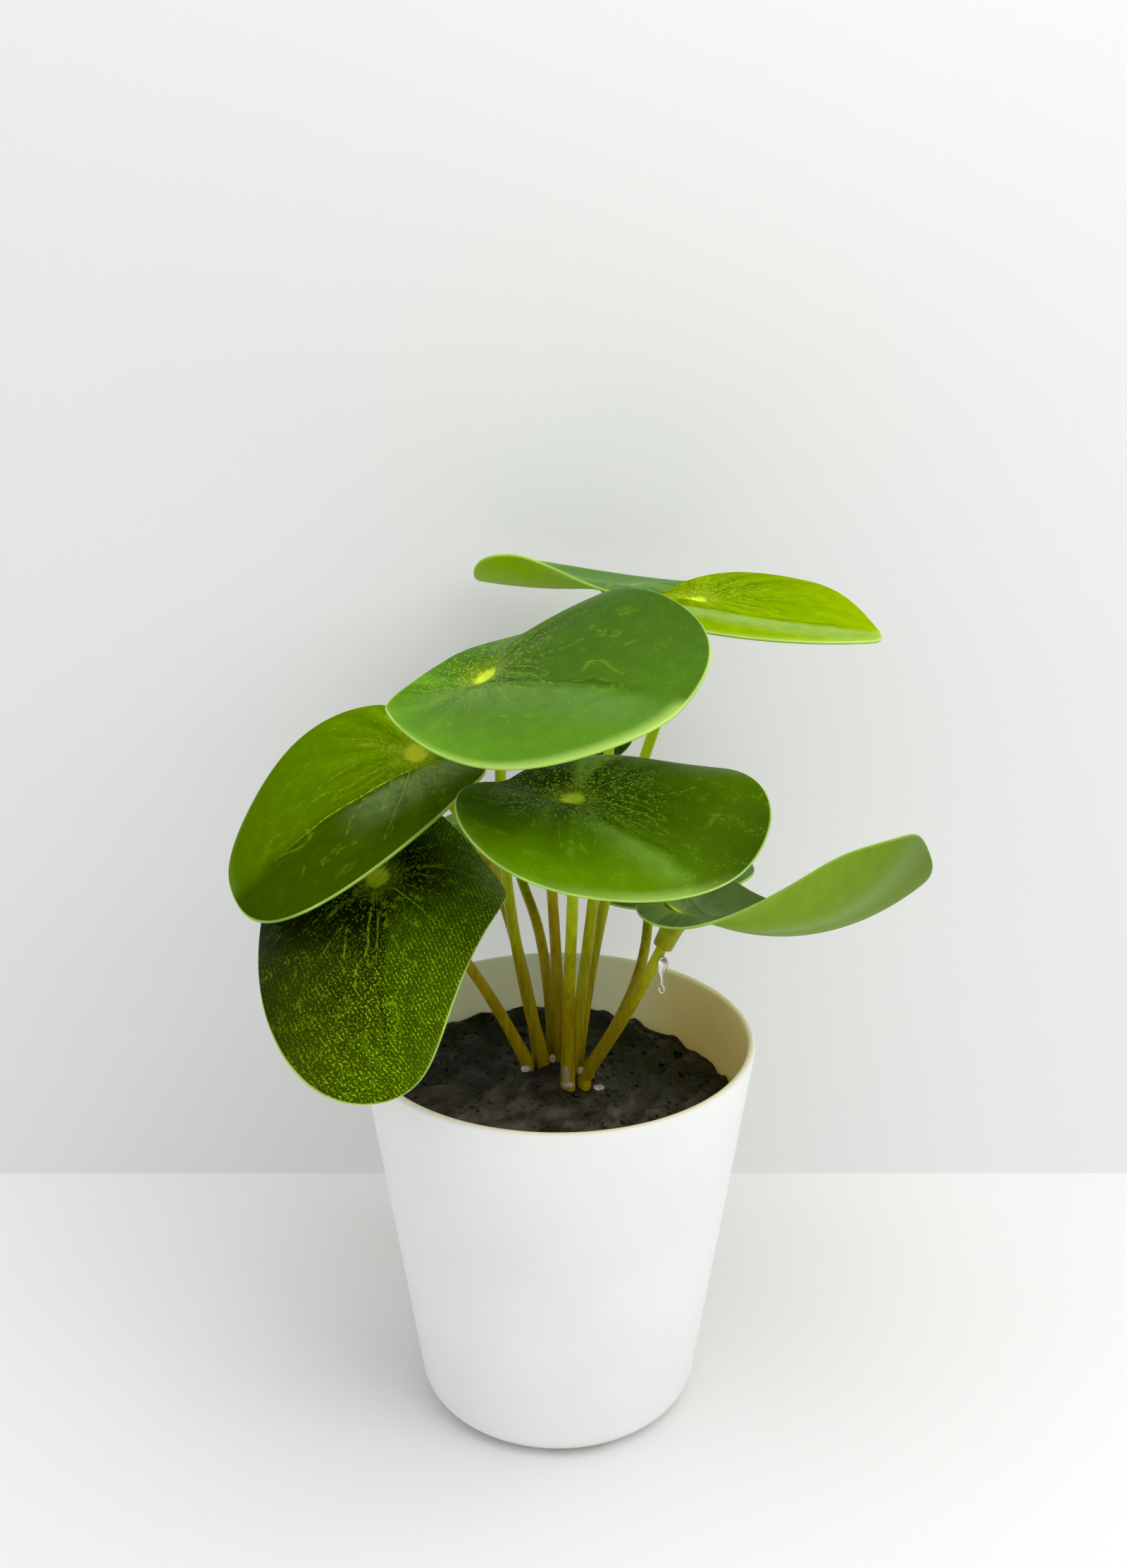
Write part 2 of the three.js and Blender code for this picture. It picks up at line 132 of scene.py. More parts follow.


# The looks of the blades: each is the print with light and shade painted into it for the leaves that wear it,
# so that sunlit and shaded are a lit and a shaded copy. deep and light are the middle and the outer part of
# the upper face, vein the ribs and speckles, under the underside, brighter where light would shine through,
# and the sheen colour a painted reflection beside the crease. Some have a navel colour of their own; the
# speckled one is brighter, painted light where the leaf above shades the navel. crease is the turn and the
# shift of the line between the halves, left and right how bright each half is, painted light and shade, and
# soft how wide they blend in millimetres. ends is how much the two ends darken, painted shade. reach is the
# width of the sheen from the crease, below zero to the right, and where along it the sheen starts and ends.
# slope is how much brighter the blade grows on each millimetre towards the tip and to the left, a painted
# fall of light.
# The rest are strengths; streak paints a streak of light and rim a glow of light through the edge.
LOOKS = {
    "bright": new_look(
        deep=(0.088, 0.170, 0.0), light=(0.080, 0.155, 0.0), vein=(0.36, 0.50, 0.02),
        under=(0.16, 0.30, 0.002), navel=(0.38, 0.44, 0.02), bloom=(0.17, 0.25, 0.09), reach=(14, -14, 24),
        crease=(0, 4), left=0.5, soft=3,
        slope=(-0.005, -0.002), rib=0.4, midrib=0.9, speckle=0.2, rim=0.1, gloss=0.0,
    ),
    "fresh": new_look(
        deep=(0.048, 0.124, 0.002), light=(0.066, 0.172, 0.004), vein=(0.24, 0.42, 0.02),
        under=(0.17, 0.34, 0.004), bloom=(0.10, 0.205, 0.035), reach=(-16, -8, 56), crease=(8, -5),
        left=0.9, soft=2,
        slope=(0.0, -0.011), rib=0.5, midrib=0.25, speckle=0.6, rim=0.6, gloss=0.04,
    ),
    "deep": new_look(
        deep=(0.044, 0.098, 0.0), light=(0.059, 0.127, 0.0), vein=(0.32, 0.54, 0.03),
        under=(0.13, 0.26, 0.002), bloom=(0.15, 0.30, 0.03), reach=(-9, 5, 38), crease=(0, -9),
        left=0.95, right=1.6, soft=9, ends=0.5,
        rib=0.5, midrib=0.0, speckle=0.75, rim=0.5, streak=1.0, gloss=0.02,
    ),
    # Its brighter navel colour is painted light where the leaf above shades the navel
    "speckled": new_look(
        deep=(0.004, 0.009, 0.0), light=(0.037, 0.064, 0.0), vein=(0.37, 0.62, 0.004),
        under=(0.12, 0.22, 0.002), navel=(0.80, 1.0, 0.03), bloom=(0.05, 0.09, 0.0), reach=(1, 0, 40),
        crease=(0, 2), soft=3,
        slope=(0.006, 0.033), rib=0.6, midrib=0.2, speckle=1.0, rim=0.0, gloss=0.03,
    ),
    "sunlit": new_look(
        deep=(0.140, 0.250, 0.0), light=(0.178, 0.290, 0.0), vein=(0.36, 0.50, 0.02), under=(0.20, 0.34, 0.0),
        bloom=(0.24, 0.37, 0.10), reach=(-12, 2, 50), crease=(30, -17), soft=2,
        slope=(0.008, 0.0), rib=0.7, midrib=0.0, speckle=0.5, rim=0.2, gloss=0.0,
    ),
    "pale": new_look(
        deep=(0.062, 0.155, 0.015), light=(0.068, 0.165, 0.015), vein=(0.26, 0.42, 0.06),
        under=(0.31, 0.54, 0.0), bloom=(0.13, 0.22, 0.08), reach=(-14, -10, 50),
        rib=0.2, midrib=0.2, speckle=0.2, rim=0.2, gloss=0.03,
    ),
    "shaded": new_look(
        deep=(0.100, 0.172, 0.038), light=(0.100, 0.172, 0.038), vein=(0.24, 0.36, 0.08),
        under=(0.205, 0.345, 0.025), bloom=(0.16, 0.24, 0.09), reach=(8, -4, 40), crease=(0, 8),
        slope=(-0.010, 0.0), rib=0.2, midrib=0.1, speckle=0.1, rim=0.1, gloss=0.02,
    ),
}

# How far from the navel towards the tip, in millimetres, the slope of tone, a painted fall of light, changes
# nothing
SLOPE_MIDDLE = 20

# Where the milky beads of glue lie, in millimetres: the middle and the half sizes of each. They are glue,
# made whiter than the clear drip so that they also paint the glints at the stems' feet
GLUE_BEADS = [
    ((1.9, -2.6, 83.0), (0.8, 0.5, 2.9)),
    ((2.3, -2.7, 80.4), (1.5, 0.9, 0.9)),
    ((5.2, -0.9, 83.2), (0.8, 0.7, 0.9)),
    ((-1.2, 2.2, 84.6), (0.7, 0.6, 1.1)),
    ((9.4, -3.2, 80.0), (1.3, 0.9, 0.6)),
    ((-7.5, 4.2, 80.8), (1.1, 1.0, 0.8)),
]


# Settings that a user may change

def millimetres(name, description, default):
    return FloatProperty(name=name, description=description, default=default * MM, unit="LENGTH")


def rgb(name, description, default):
    return FloatVectorProperty(name=name, description=description, default=default, subtype="COLOR")


def number(name, description, default):
    return FloatProperty(name=name, description=description, default=default)


class PileaPotSettings(bpy.types.PropertyGroup):
    foot_radius: millimetres("Foot radius", "Radius at which the straight wall would meet the ground", 32)
    wall: millimetres("Wall", "Thickness of the pot's wall", 1.8)
    floor: millimetres("Floor", "Thickness of the floor", 2.5)
    fillet: millimetres("Foot fillet", "Radius of the round between foot and wall", 7)
    sides: IntProperty(name="Sides", description="Faces around the pot", default=144, min=24)
    notch_width: millimetres("Notch width", "Width of a notch in the foot", 12)
    notch_height: millimetres("Notch height", "Height of a notch in the foot", 1.6)
    outside: rgb("Outside", "Colour of the outer wall", (0.90, 0.90, 0.88))
    dust: rgb("Dust", "Colour of the faint patches on the outer wall", (0.86, 0.86, 0.83))
    # The two inside colours paint light and shade: the right is the inner wall in shade, darker and browner,
    # and the back and left the wall lit through the thin plastic
    inside: rgb("Inside", "Colour of the inner wall on the right", (0.91, 0.75, 0.38))
    inside_back: rgb("Inside back", "Colour of the inner wall at the back and left", (1.0, 0.98, 0.80))


class PileaSoilSettings(bpy.types.PropertyGroup):
    edge: millimetres("Edge height", "Height of the soil at the wall", 75.5)
    lump: millimetres("Lump height", "Height of the small lumps", 0.8)
    crumb_count: IntProperty(name="Crumbs", description="Number of loose crumbs", default=420, min=0)
    crumb_radius: millimetres("Crumb radius", "Radius of the largest crumb", 0.75)
    seed: IntProperty(name="Seed", description="Choice of the crumbs' places", default=4)
    dark: rgb("Dark", "Colour of the soil's hollows", (0.003, 0.0025, 0.0015))
    dusty: rgb("Dusty", "Colour of the soil's tops", (0.016, 0.0128, 0.0105))


class PileaLeafSettings(bpy.types.PropertyGroup):
    thickness: millimetres("Thickness", "Thickness of a blade", 0.8)
    veins: IntProperty(name="Main veins", description="Veins that run out from the navel", default=7, min=3)
    vein_depth: millimetres("Vein depth", "How far the main veins sink in", 0.16)
    navel: rgb("Navel", "Colour over the socket", (0.62, 0.78, 0.045))
    margin: rgb("Margin", "Colour of the blade's edge", (0.46, 0.66, 0.15))
    socket: rgb("Socket", "Colour of the moulded socket", (0.30, 0.32, 0.001))


class PileaStemSettings(bpy.types.PropertyGroup):
    foot_radius: millimetres("Foot radius", "Radius of a stem in the soil", 1.4)
    tip_radius: millimetres("Tip radius", "Radius of a stem in its socket", 1.15)
    start: millimetres("Start", "Height at which a stem begins to lean", 80.8)
    brown: rgb("Brown", "Colour of the lower stem", (0.36, 0.27, 0.002))
    green: rgb("Green", "Colour of the upper stem", (0.38, 0.54, 0.004))


class PileaGlueSettings(bpy.types.PropertyGroup):
    strand: millimetres("Strand", "Radius of the hanging strand", 0.3)
    bead: millimetres("Bead", "Radius of the hanging bead", 1.1)


class PileaStageSettings(bpy.types.PropertyGroup):
    camera_place: FloatVectorProperty(
        name="Camera place", description="Where the camera stands", subtype="TRANSLATION",
        default=(1.28 * MM, -375.7 * MM, 285.7 * MM),
    )
    camera_tilt: FloatProperty(
        name="Camera tilt", description="How far the camera looks down", unit="ROTATION",
        default=math.radians(19.5),
    )
    lens: number("Lens", "Focal length in millimetres", 42.05)
    wall_distance: millimetres("Wall distance", "From the pot's axis to the wall behind", 90.5)
    key_power: number("Key light", "Power of the large light on the right", 2.3)
    top_power: number("Top light", "Power of the light overhead", 3.0)
    sky: number("Sky", "Strength of the light from all around", 0.74)
    paper: rgb("Paper", "Colour of floor and wall", (0.80, 0.80, 0.79))


# Mesh making

def turns_of(count):
    return np.linspace(0, FULL_TURN, count, endpoint=False)


def web_faces(rings, count):
    """Faces of a web: point 0 in the middle, then the points of each ring around it, from the inside out"""
    faces = [(0, 1 + j, 1 + (j + 1) % count) for j in range(count)]
    for r in range(rings - 1):
        near = 1 + r * count
        far = near + count
        for j in range(count):
            after = (j + 1) % count
            faces.append((near + j, far + j, far + after, near + after))
    return faces


def loft(start, rings, end):
    """Points and faces of a closed skin over rings that run from one end point to another"""
    count = len(rings[0])
    points = [start] + [point for ring in rings for point in ring] + [end]
    faces = web_faces(len(rings), count)
    last = len(points) - 1
    rim = last - count
    faces += [(last, rim + (j + 1) % count, rim + j) for j in range(count)]
    return points, faces


def circle(middle, first, second, radius, count):
    turns = turns_of(count)
    ring = np.outer(np.cos(turns), first) + np.outer(np.sin(turns), second)
    return list(np.asarray(middle) + radius * ring)


def level_ring(radius, height, count):
    return [(radius * math.cos(turn), radius * math.sin(turn), height) for turn in turns_of(count)]


def tube(points, radii, count):
    """A round rod along a line of points, from the top one down"""
    rings = []
    for i, point in enumerate(points):
        before = np.asarray(points[max(i - 1, 0)])
        after = np.asarray(points[min(i + 1, len(points) - 1)])
        up = (before - after) / np.linalg.norm(before - after)
        first = np.cross((0, 1, 0), up)
        first = first / np.linalg.norm(first)
        rings.append(circle(point, first, np.cross(up, first), radii[i], count))
    return loft(points[0], rings, points[-1])


def put(name, data):
    """Links a new object to the scene"""
    made = bpy.data.objects.new(name, data)
    bpy.context.scene.collection.objects.link(made)
    return made


def put_smooth(name, mesh, materials):
    for material in materials:
        mesh.materials.append(material)
    mesh.polygons.foreach_set("use_smooth", [True] * len(mesh.polygons))
    return put(name, mesh)


def make_object(name, points, faces, materials):
    mesh = bpy.data.meshes.new(name)
    mesh.from_pydata([tuple(float(c) for c in point) for point in points], [], faces)
    mesh.update()
    return put_smooth(name, mesh, materials)


def store(piece, name, values):
    """Keeps one number for each point of the mesh, for the material to read"""
    attribute = piece.data.attributes.new(name, "FLOAT", "POINT")
    attribute.data.foreach_set("value", [float(value) for value in values])


def store_flat(piece, name, places):
    """Keeps a flat place for each point of the mesh as a UV map"""
    layer = piece.data.uv_layers.new(name=name)
    corners = np.empty(len(piece.data.loops), dtype=int)
    piece.data.loops.foreach_get("vertex_index", corners)
    layer.data.foreach_set("uv", np.asarray(places, dtype=float)[corners].ravel())


def to_plain_mesh(piece):
    """Applies the piece's modifiers and takes them off"""
    mesh = bpy.data.meshes.new_from_object(piece.evaluated_get(bpy.context.evaluated_depsgraph_get()))
    name = piece.name
    bpy.data.objects.remove(piece)
    return put(name, mesh)


def sharpen(piece, degrees):
    """Keeps the edges sharp that turn by more than the given angle"""
    piece.data.set_sharp_from_angle(angle=math.radians(degrees))


def seat(piece, slot, *nodes):
    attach(piece, ROOT)
    if nodes:
        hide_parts(*nodes)


# Node trees

class Signal:
    """One output of a node, which can be reckoned with like a number"""

    def __init__(self, socket):
        self.socket = socket
        self.tree = socket.id_data

    def __add__(self, other):
        return reckon("ADD", self, other)

    def __sub__(self, other):
        return reckon("SUBTRACT", self, other)

    def __rsub__(self, other):
        return reckon("SUBTRACT", other, self)

    def __mul__(self, other):
        return reckon("MULTIPLY", self, other)

    def __truediv__(self, other):
        return reckon("DIVIDE", self, other)

    def __abs__(self):
        return reckon("ABSOLUTE", self)

    __radd__ = __add__
    __rmul__ = __mul__


def by_name(outputs):
    return {socket.name: Signal(socket) for socket in outputs}


def wire(value, socket):
    """Feeds a socket from a signal, or sets it to a plain value or colour"""
    if isinstance(value, Signal):
        value.tree.links.new(value.socket, socket)
    elif socket.type == "RGBA":
        socket.default_value = (*value, 1.0)
    else:
        socket.default_value = value


def add_node(tree, kind, output=0, inputs=None, **traits):
    """Adds a node, sets its traits, feeds its inputs by name or place, and returns one of its outputs"""
    node = tree.nodes.new(kind)
    for name, value in traits.items():
        setattr(node, name, value)
    for label, value in (inputs or {}).items():
        wire(value, node.inputs[label])
    return Signal(node.outputs[output])


def reckon(operation, *values):
    tree = next(value.tree for value in values if isinstance(value, Signal))
    return add_node(tree, "ShaderNodeMath", 0, dict(enumerate(values)), operation=operation)


def largest(first, *others):
    for other in others:
        first = reckon("MAXIMUM", first, other)
    return first


def reckon_place(operation, place, other=None):
    """Sum, scaling, length and so on of a place or a colour"""
    inputs = {0: place}
    if other is not None:
        inputs["Scale" if operation == "SCALE" else 1] = other
    output = "Value" if operation in {"LENGTH", "DOT_PRODUCT"} else "Vector"
    return add_node(place.tree, "ShaderNodeVectorMath", output, inputs, operation=operation)


def parts(place):
    node = place.tree.nodes.new("ShaderNodeSeparateXYZ")
    wire(place, node.inputs[0])
    return [Signal(socket) for socket in node.outputs]


def fade(value, low, high, to_low=0.0, to_high=1.0):
    """A soft step from one value to another while the input goes from low to high"""
    inputs = {"Value": value, "From Min": low, "From Max": high, "To Min": to_low, "To Max": to_high}
    return add_node(value.tree, "ShaderNodeMapRange", "Result", inputs, interpolation_type="SMOOTHSTEP")


def fall(value, low, high, most=1.0):
    """A soft step down to nothing"""
    return fade(value, low, high, most, 0.0)


def blend(factor, first, second):
    return add_node(factor.tree, "ShaderNodeMix", 2, {0: factor, 6: first, 7: second}, data_type="RGBA")


def cloud(place, scale, detail=2.0, output="Fac"):
    inputs = {"Vector": place, "Scale": scale, "Detail": detail}
    return add_node(place.tree, "ShaderNodeTexNoise", output, inputs)


def kept_number(tree, name):
    return add_node(tree, "ShaderNodeAttribute", "Fac", attribute_name=name)


def object_place(tree):
    return add_node(tree, "ShaderNodeTexCoord", "Object")


def new_tree(name, kind, inputs, outputs):
    """A node tree with named sockets, (name, kind, default), what it is given and where its results go"""
    tree = bpy.data.node_groups.new(name, kind)
    for direction, sockets in (("INPUT", inputs), ("OUTPUT", outputs)):
        for label, holds, *default in sockets:
            socket = tree.interface.new_socket(label, in_out=direction, socket_type="NodeSocket" + holds)
            if default:
                socket.default_value = default[0]
    return tree, by_name(tree.nodes.new("NodeGroupInput").outputs), tree.nodes.new("NodeGroupOutput").inputs


def socket_label(name):
    return name.replace("_", " ").capitalize()


def place_group(tree, group, **values):
    node = tree.nodes.new("ShaderNodeGroup")
    node.node_tree = group
    for name, value in values.items():
        wire(value, node.inputs[socket_label(name)])
    return by_name(node.outputs)


def grain_group():
    """Fine grain of moulded plastic: a height and a little wear in the gloss"""
    tree, given, out = new_tree(
        "Moulded grain", "ShaderNodeTree",
        [("Scale", "Float", 1500.0), ("Gloss", "Float", 0.4), ("Spread", "Float", 0.1)],
        [("Roughness", "Float"), ("Height", "Float")],
    )
    place = object_place(tree)
    wire(given["Gloss"] + (cloud(place, 60.0) - 0.5) * given["Spread"], out["Roughness"])
    wire(cloud(place, given["Scale"], 3.0), out["Height"])
    return tree


def grain(tree, **values):
    """Roughness and height of the moulded grain"""
    made = place_group(tree, bpy.data.node_groups.get("Moulded grain") or grain_group(), **values)
    return made["Roughness"], made["Height"]


# The rows of dashes on a speckled blade: their distance in millimetres, the directions along and across them,
# and how finely the dashes lie in each of the two
ROW_DISTANCE = 0.9
ALONG_ROWS = (0.87, 0.49, 0.0)
ACROSS_ROWS = (-0.49, 0.87, 0.0)
DASH_FINENESS = (1.9, 2.7, 1.0)

# The turn, in radians from the tip to the left, at which a streak of light runs out from the navel
STREAK_TURN = 1.75

# How far from the navel towards the tip a blade's middle lies, in millimetres
BLADE_MIDDLE = 18.0


def leaf_group(veins):
    """The print on a blade with painted light and shade, in millimetres: halves, painted sheen, ribs,
    speckles, navel, rim and margin
    """
    colours = ("Deep", "Light", "Vein", "Under", "Bloom", "Navel", "Margin")
    strengths = ("Left", "Right", "Soft", "Ends", "Rib", "Midrib", "Speckle", "Rim", "Streak")
    tree, given, out = new_tree(
        "Leaf print", "ShaderNodeTree",
        [(label, "Color", (0.1, 0.2, 0.01, 1.0)) for label in colours]
        + [(label, "Float", 0.5) for label in strengths]
        + [(label, "Vector", (0.0, 1.0, 0.0)) for label in ("Crease", "Slope", "Reach")],
        [("Color", "Color"), ("Roughness", "Float"), ("Height", "Float")],
    )
    flat = add_node(tree, "ShaderNodeUVMap", "UV", uv_map="Blade")
    place = reckon_place("SCALE", reckon_place("SUBTRACT", flat, (0.5, 0.5, 0.0)), FLAT_SIDE)
    raised = reckon_place("ADD", place, (0.0, 0.0, 1.0))
    share = kept_number(tree, "share")
    top = kept_number(tree, "top")
    distance = reckon_place("LENGTH", place)
    along, aside, _ = parts(place)
    turn = reckon("ARCTAN2", aside, along)
    broad = cloud(place, 0.07)
    middling = cloud(place, 0.3, 4.0)
    fine = cloud(place, 0.9)
    sway = (broad - 0.5) * share
    off_crease = reckon_place("DOT_PRODUCT", raised, given["Crease"]) + sway * 5.0

    # The ground, with light and shade painted into it: lighter and darker halves as light falls on the two
    # sides, a painted fall of light along the slope of tone, painted shade at the ends and in a dark line by
    # the crease, and rays from the navel that paint the light and shade of fine folds
    halves = fade(off_crease / given["Soft"], -1.0, 1.0)
    # tone is painted light: the blade brightens along the slope
    tone = largest(reckon_place("DOT_PRODUCT", raised, given["Slope"]), 0.3)
    # Painted shade that darkens both ends of the blade
    ends = fade(abs(along - BLADE_MIDDLE), 8.0, 26.0) * given["Ends"]
    outward = reckon_place("NORMALIZE", place)
    # rays paint the light and shade of fine folds into the colour; the height below raises the same folds
    rays = (cloud(outward, 4.0, 4.0) - 0.5) * (fade(distance, 2.5, 7.0) * fall(distance, 12.0, 34.0))
    shade = halves * given["Left"] + (1.0 - halves) * given["Right"]
    shade = shade * tone * fade(middling, 0.3, 0.7, 0.94, 1.06) * (1.0 + rays * 1.7) * (1.0 - ends)
    # Painted shade: a dark line along the upper side of the crease
    crease_shade = fade(abs(off_crease - 0.8), 0.1, 1.1, 0.7, 1.0)
    crease_shade = largest(crease_shade, fall(along, 1.0, 3.0), fade(share, 0.4, 0.9))
    ground = blend(fade(share + (broad - 0.5) * 0.4, 0.2, 1.0), given["Deep"], given["Light"])
    ground = reckon_place("SCALE", ground, shade * crease_shade)

    # A painted sheen beside the crease, standing in for the reflection of wall and sky, and a painted streak
    # of light from the navel
    wide, start, end = parts(given["Reach"])
    out_from = off_crease * reckon("SIGN", wide)
    sheen_mask = fade(out_from, 0.0, 2.5) * fade(along, start, start + 9.0) * fall(along, end - 14.0, end)
    sheen_mask = sheen_mask * fall(out_from, 2.5, abs(wide), 0.65)
    streak = fall(abs(turn - STREAK_TURN), 0.1, 0.35) * fade(distance, 3.0, 6.0) * given["Streak"]
    ground = blend(largest(sheen_mask, streak) * fade(middling, 0.3, 0.6, 0.6, 1.0), ground, given["Bloom"])

    # Ribs that fan out from the navel, a midrib along the crease, and fine threads between them
    off_rib = abs(reckon("SINE", (turn + sway) * (veins / 2))) * distance * (2 / veins)
    width = fade(share, 0.0, 1.0, 0.34, 0.14)
    fan = fall(off_rib, 0.0, width) * fall(share, 0.4, 0.9)
    midrib = fall(abs(off_crease), 0.08, width) * fade(along, 1.0, 3.0) * fall(share, 0.35, 0.8)
    onward = reckon_place("ADD", outward, reckon_place("SCALE", place, 0.015))
    off_thread = abs(cloud(onward, 2.6, 1.0) - 0.5) * distance
    threads = fall(off_thread, 0.1, 0.45, 0.6) * fade(middling, 0.42, 0.55) * fall(share, 0.5, 1.0)
    gaps = fade(given["Speckle"], 0.4, 1.0, 0.25, 0.0)
    unbroken = fade(given["Speckle"], 0.4, 1.0, 0.56, 0.52)
    ribs = largest(largest(fan, threads) * given["Rib"], midrib * given["Midrib"])
    ribs = ribs * fade(fine, 0.42, unbroken, gaps, 1.0)

    # Dashes in slanting rows where the blade is strongly speckled, dots around the navel, and fine dust
    across = reckon_place("DOT_PRODUCT", place, ACROSS_ROWS)
    weave = {"X": reckon_place("DOT_PRODUCT", place, ALONG_ROWS), "Y": across}
    weave = reckon_place("MULTIPLY", add_node(tree, "ShaderNodeCombineXYZ", 0, weave), DASH_FINENESS)
    row = reckon("SINE", across * (FULL_TURN / ROW_DISTANCE))
    between_rows = fall(aside, 2.0, 16.0, 0.3)
    dashes = fade(cloud(weave, 1.0), 0.5, 0.59) * fade(row, -0.5, 0.6, between_rows, 1.0)
    crowd = fade(tone, 0.4, 1.3, 0.12, 1.0) * fade(distance, 9.0, 26.0, 0.04, 1.0)
    woven = dashes * fade(middling, 0.36, 0.6, 0.6, 1.0) * crowd * fade(given["Speckle"], 0.8, 1.0)
    cells = add_node(tree, "ShaderNodeTexVoronoi", "Distance", {"Vector": place, "Scale": 1.4})
    dots = fall(cells, 0.12, 0.45)
    burst = dots * fade(distance, 3.0, 24.0, 1.9, 0.05) * fade(given["Speckle"], 0.8, 1.0, 1.0, 0.3)
    dust = dots * fade(middling, 0.46, 0.66, 0.0, 0.35)
    spots = largest(woven, largest(burst, dust) * given["Speckle"]) * 0.85

    # The upper face with its navel and its rim, a painted glow of light through the edge on one half, the
    # underside, and the pale edge
    upper = blend(largest(ribs, spots), ground, given["Vein"])
    navel = largest(fall(distance + fine * 2.6, 2.8, 5.0, 0.9), fall(distance, 2.0, 8.0, 0.16))
    upper = blend(navel, upper, given["Navel"])
    rim = (1.0 - halves) * fade(share, 0.93, 1.0) * given["Rim"] * fade(along, 5.0, 35.0, 0.1, 1.0)
    upper = blend(rim, upper, given["Margin"])
    # The underside takes the same painted fall of light
    even = fade(middling, 0.25, 0.75, 0.94, 1.06) * tone
    lower = blend(ribs * 0.3, reckon_place("SCALE", given["Under"], even), given["Vein"])
    edge = fade(share, 0.988, 0.998, 0.0, fade(broad, 0.3, 0.7, 0.5, 1.0))
    edge = edge * fade(top, 0.2, 0.7, 0.25, 1.0)
    wire(blend(edge, blend(top, lower, upper), given["Margin"]), out["Color"])
    wire(0.3 + middling * 0.2 + ribs * 0.12, out["Roughness"])
    wire(spots * 0.04 - ribs * 0.25 + cloud(place, 3.2) * 0.05 + rays * 1.1, out["Height"])
    return tree


# Materials

def new_material(name):
    """A material with its own shader: returns it, its tree and the shader's inputs"""
    material = bpy.data.materials.new(name)
    material.use_nodes = True
    tree = material.node_tree
    return material, tree, tree.nodes["Principled BSDF"].inputs


def toned(paint, factor):
    return tuple(factor * part for part in paint)


def fill(shader, shown, rough, height, relief, strength=1.0, shine=None, depth=None):
    """Feeds a shader: relief is what a height of 1 stands for, shine the level and the tint of the gloss, and
    depth the weight, the reach of each colour and the scale of the light inside the plastic"""
    bump = {"Strength": strength, "Distance": relief, "Height": height}
    values = {
        "Base Color": shown, "Roughness": rough, "Normal": add_node(height.tree, "ShaderNodeBump", 0, bump),
    }
    if shine:
        values["Specular IOR Level"], values["Specular Tint"] = shine
    if depth:
        values["Subsurface Weight"], values["Subsurface Radius"], values["Subsurface Scale"] = depth
    for label, value in values.items():
        wire(value, shader[label])


def pot_material(settings):
    material, tree, shader = new_material("Pot plastic")
    rough, height = grain(tree, scale=900.0, gloss=0.42, spread=0.1)
    place = object_place(tree)
    x, y, _ = parts(place)
    outside = blend(fade(cloud(place, 35.0, 3.0), 0.35, 0.75), settings.outside, settings.dust)
    # Painted light and shade on the inner wall: darker towards the right, lighter towards the back and left
    inside = blend(fade(y - x, -10 * MM, 40 * MM), settings.inside, settings.inside_back)
    shown = blend(kept_number(tree, "inside"), outside, inside)
    fill(shader, shown, rough, height, relief=0.02 * MM, depth=(0.5, (1.0, 0.9, 0.6), 3.0 * MM))
    return material


def soil_material(settings):
    """Lumps with painted light: the soil grows lighter towards the front, standing in for the light and
    highlights there
    """
    material, tree, shader = new_material("Cast soil")
    rough, height = grain(tree, scale=1400.0, gloss=0.42, spread=0.5)
    place = object_place(tree)
    lumps = cloud(place, 170.0, 2.5)
    ground = blend(fade(lumps, 0.38, 0.7), settings.dark, settings.dusty)
    # Painted light: lighter towards the front, where light and highlights fall on the soil
    front_light = fade(parts(place)[1], -14 * MM, 10 * MM, 8.0, 0.35)
    damp = fade(cloud(place, 140.0), 0.45, 0.62, -0.12, 0.14)
    fill(
        shader, reckon_place("SCALE", ground, front_light), rough + damp, lumps + height * 0.25, relief=1.2 * MM,
        shine=(0.3, (1.0, 0.93, 0.82)),
    )
    return material


def leaf_material(name, look, settings, print_tree):
    """The print in one look, with light and shade painted into it. The print's tree takes the crease and the
    slope as planes over the blade
    """
    material, tree, shader = new_material(f"Leaf {name}")
    values = dict(navel=settings.navel, margin=settings.margin) | look
    gloss = values.pop("gloss")
    turn, shift = values["crease"]
    turn = math.radians(turn)
    values["crease"] = (-math.sin(turn), math.cos(turn), -shift)
    values["slope"] = (*values["slope"], 1 - SLOPE_MIDDLE * values["slope"][0])
    pattern = place_group(tree, print_tree, **values)
    fill(
        shader, pattern["Color"], pattern["Roughness"], pattern["Height"], relief=1.0 * MM, strength=0.7,
        shine=(gloss, (0.7, 0.95, 0.4)), depth=(0.25, (0.8, 1.0, 0.05), 1.0 * MM),
    )
    return material


def stem_material(name, settings, green):
    """Streaks of olive brown that turn green towards the leaf"""
    material, tree, shader = new_material(name)
    rough, height = grain(tree, scale=700.0, gloss=0.36, spread=0.2)
    streaks = cloud(reckon_place("MULTIPLY", object_place(tree), (1.0, 1.0, 0.06)), 900.0)
    start = 1.0 - green
    greening = fade(kept_number(tree, "along") + (streaks - 0.5) * 0.5, start - 0.25, start + 0.45)
    brown = blend(fade(streaks, 0.3, 0.62), toned(settings.brown, 0.72), settings.brown)
    fill(
        shader, blend(greening, brown, settings.green), rough, streaks + height * 0.2, relief=0.06 * MM,
        shine=(0.2, (1.0, 0.9, 0.4)), depth=(0.3, (1.0, 0.8, 0.1), 1.2 * MM),
    )
    return material


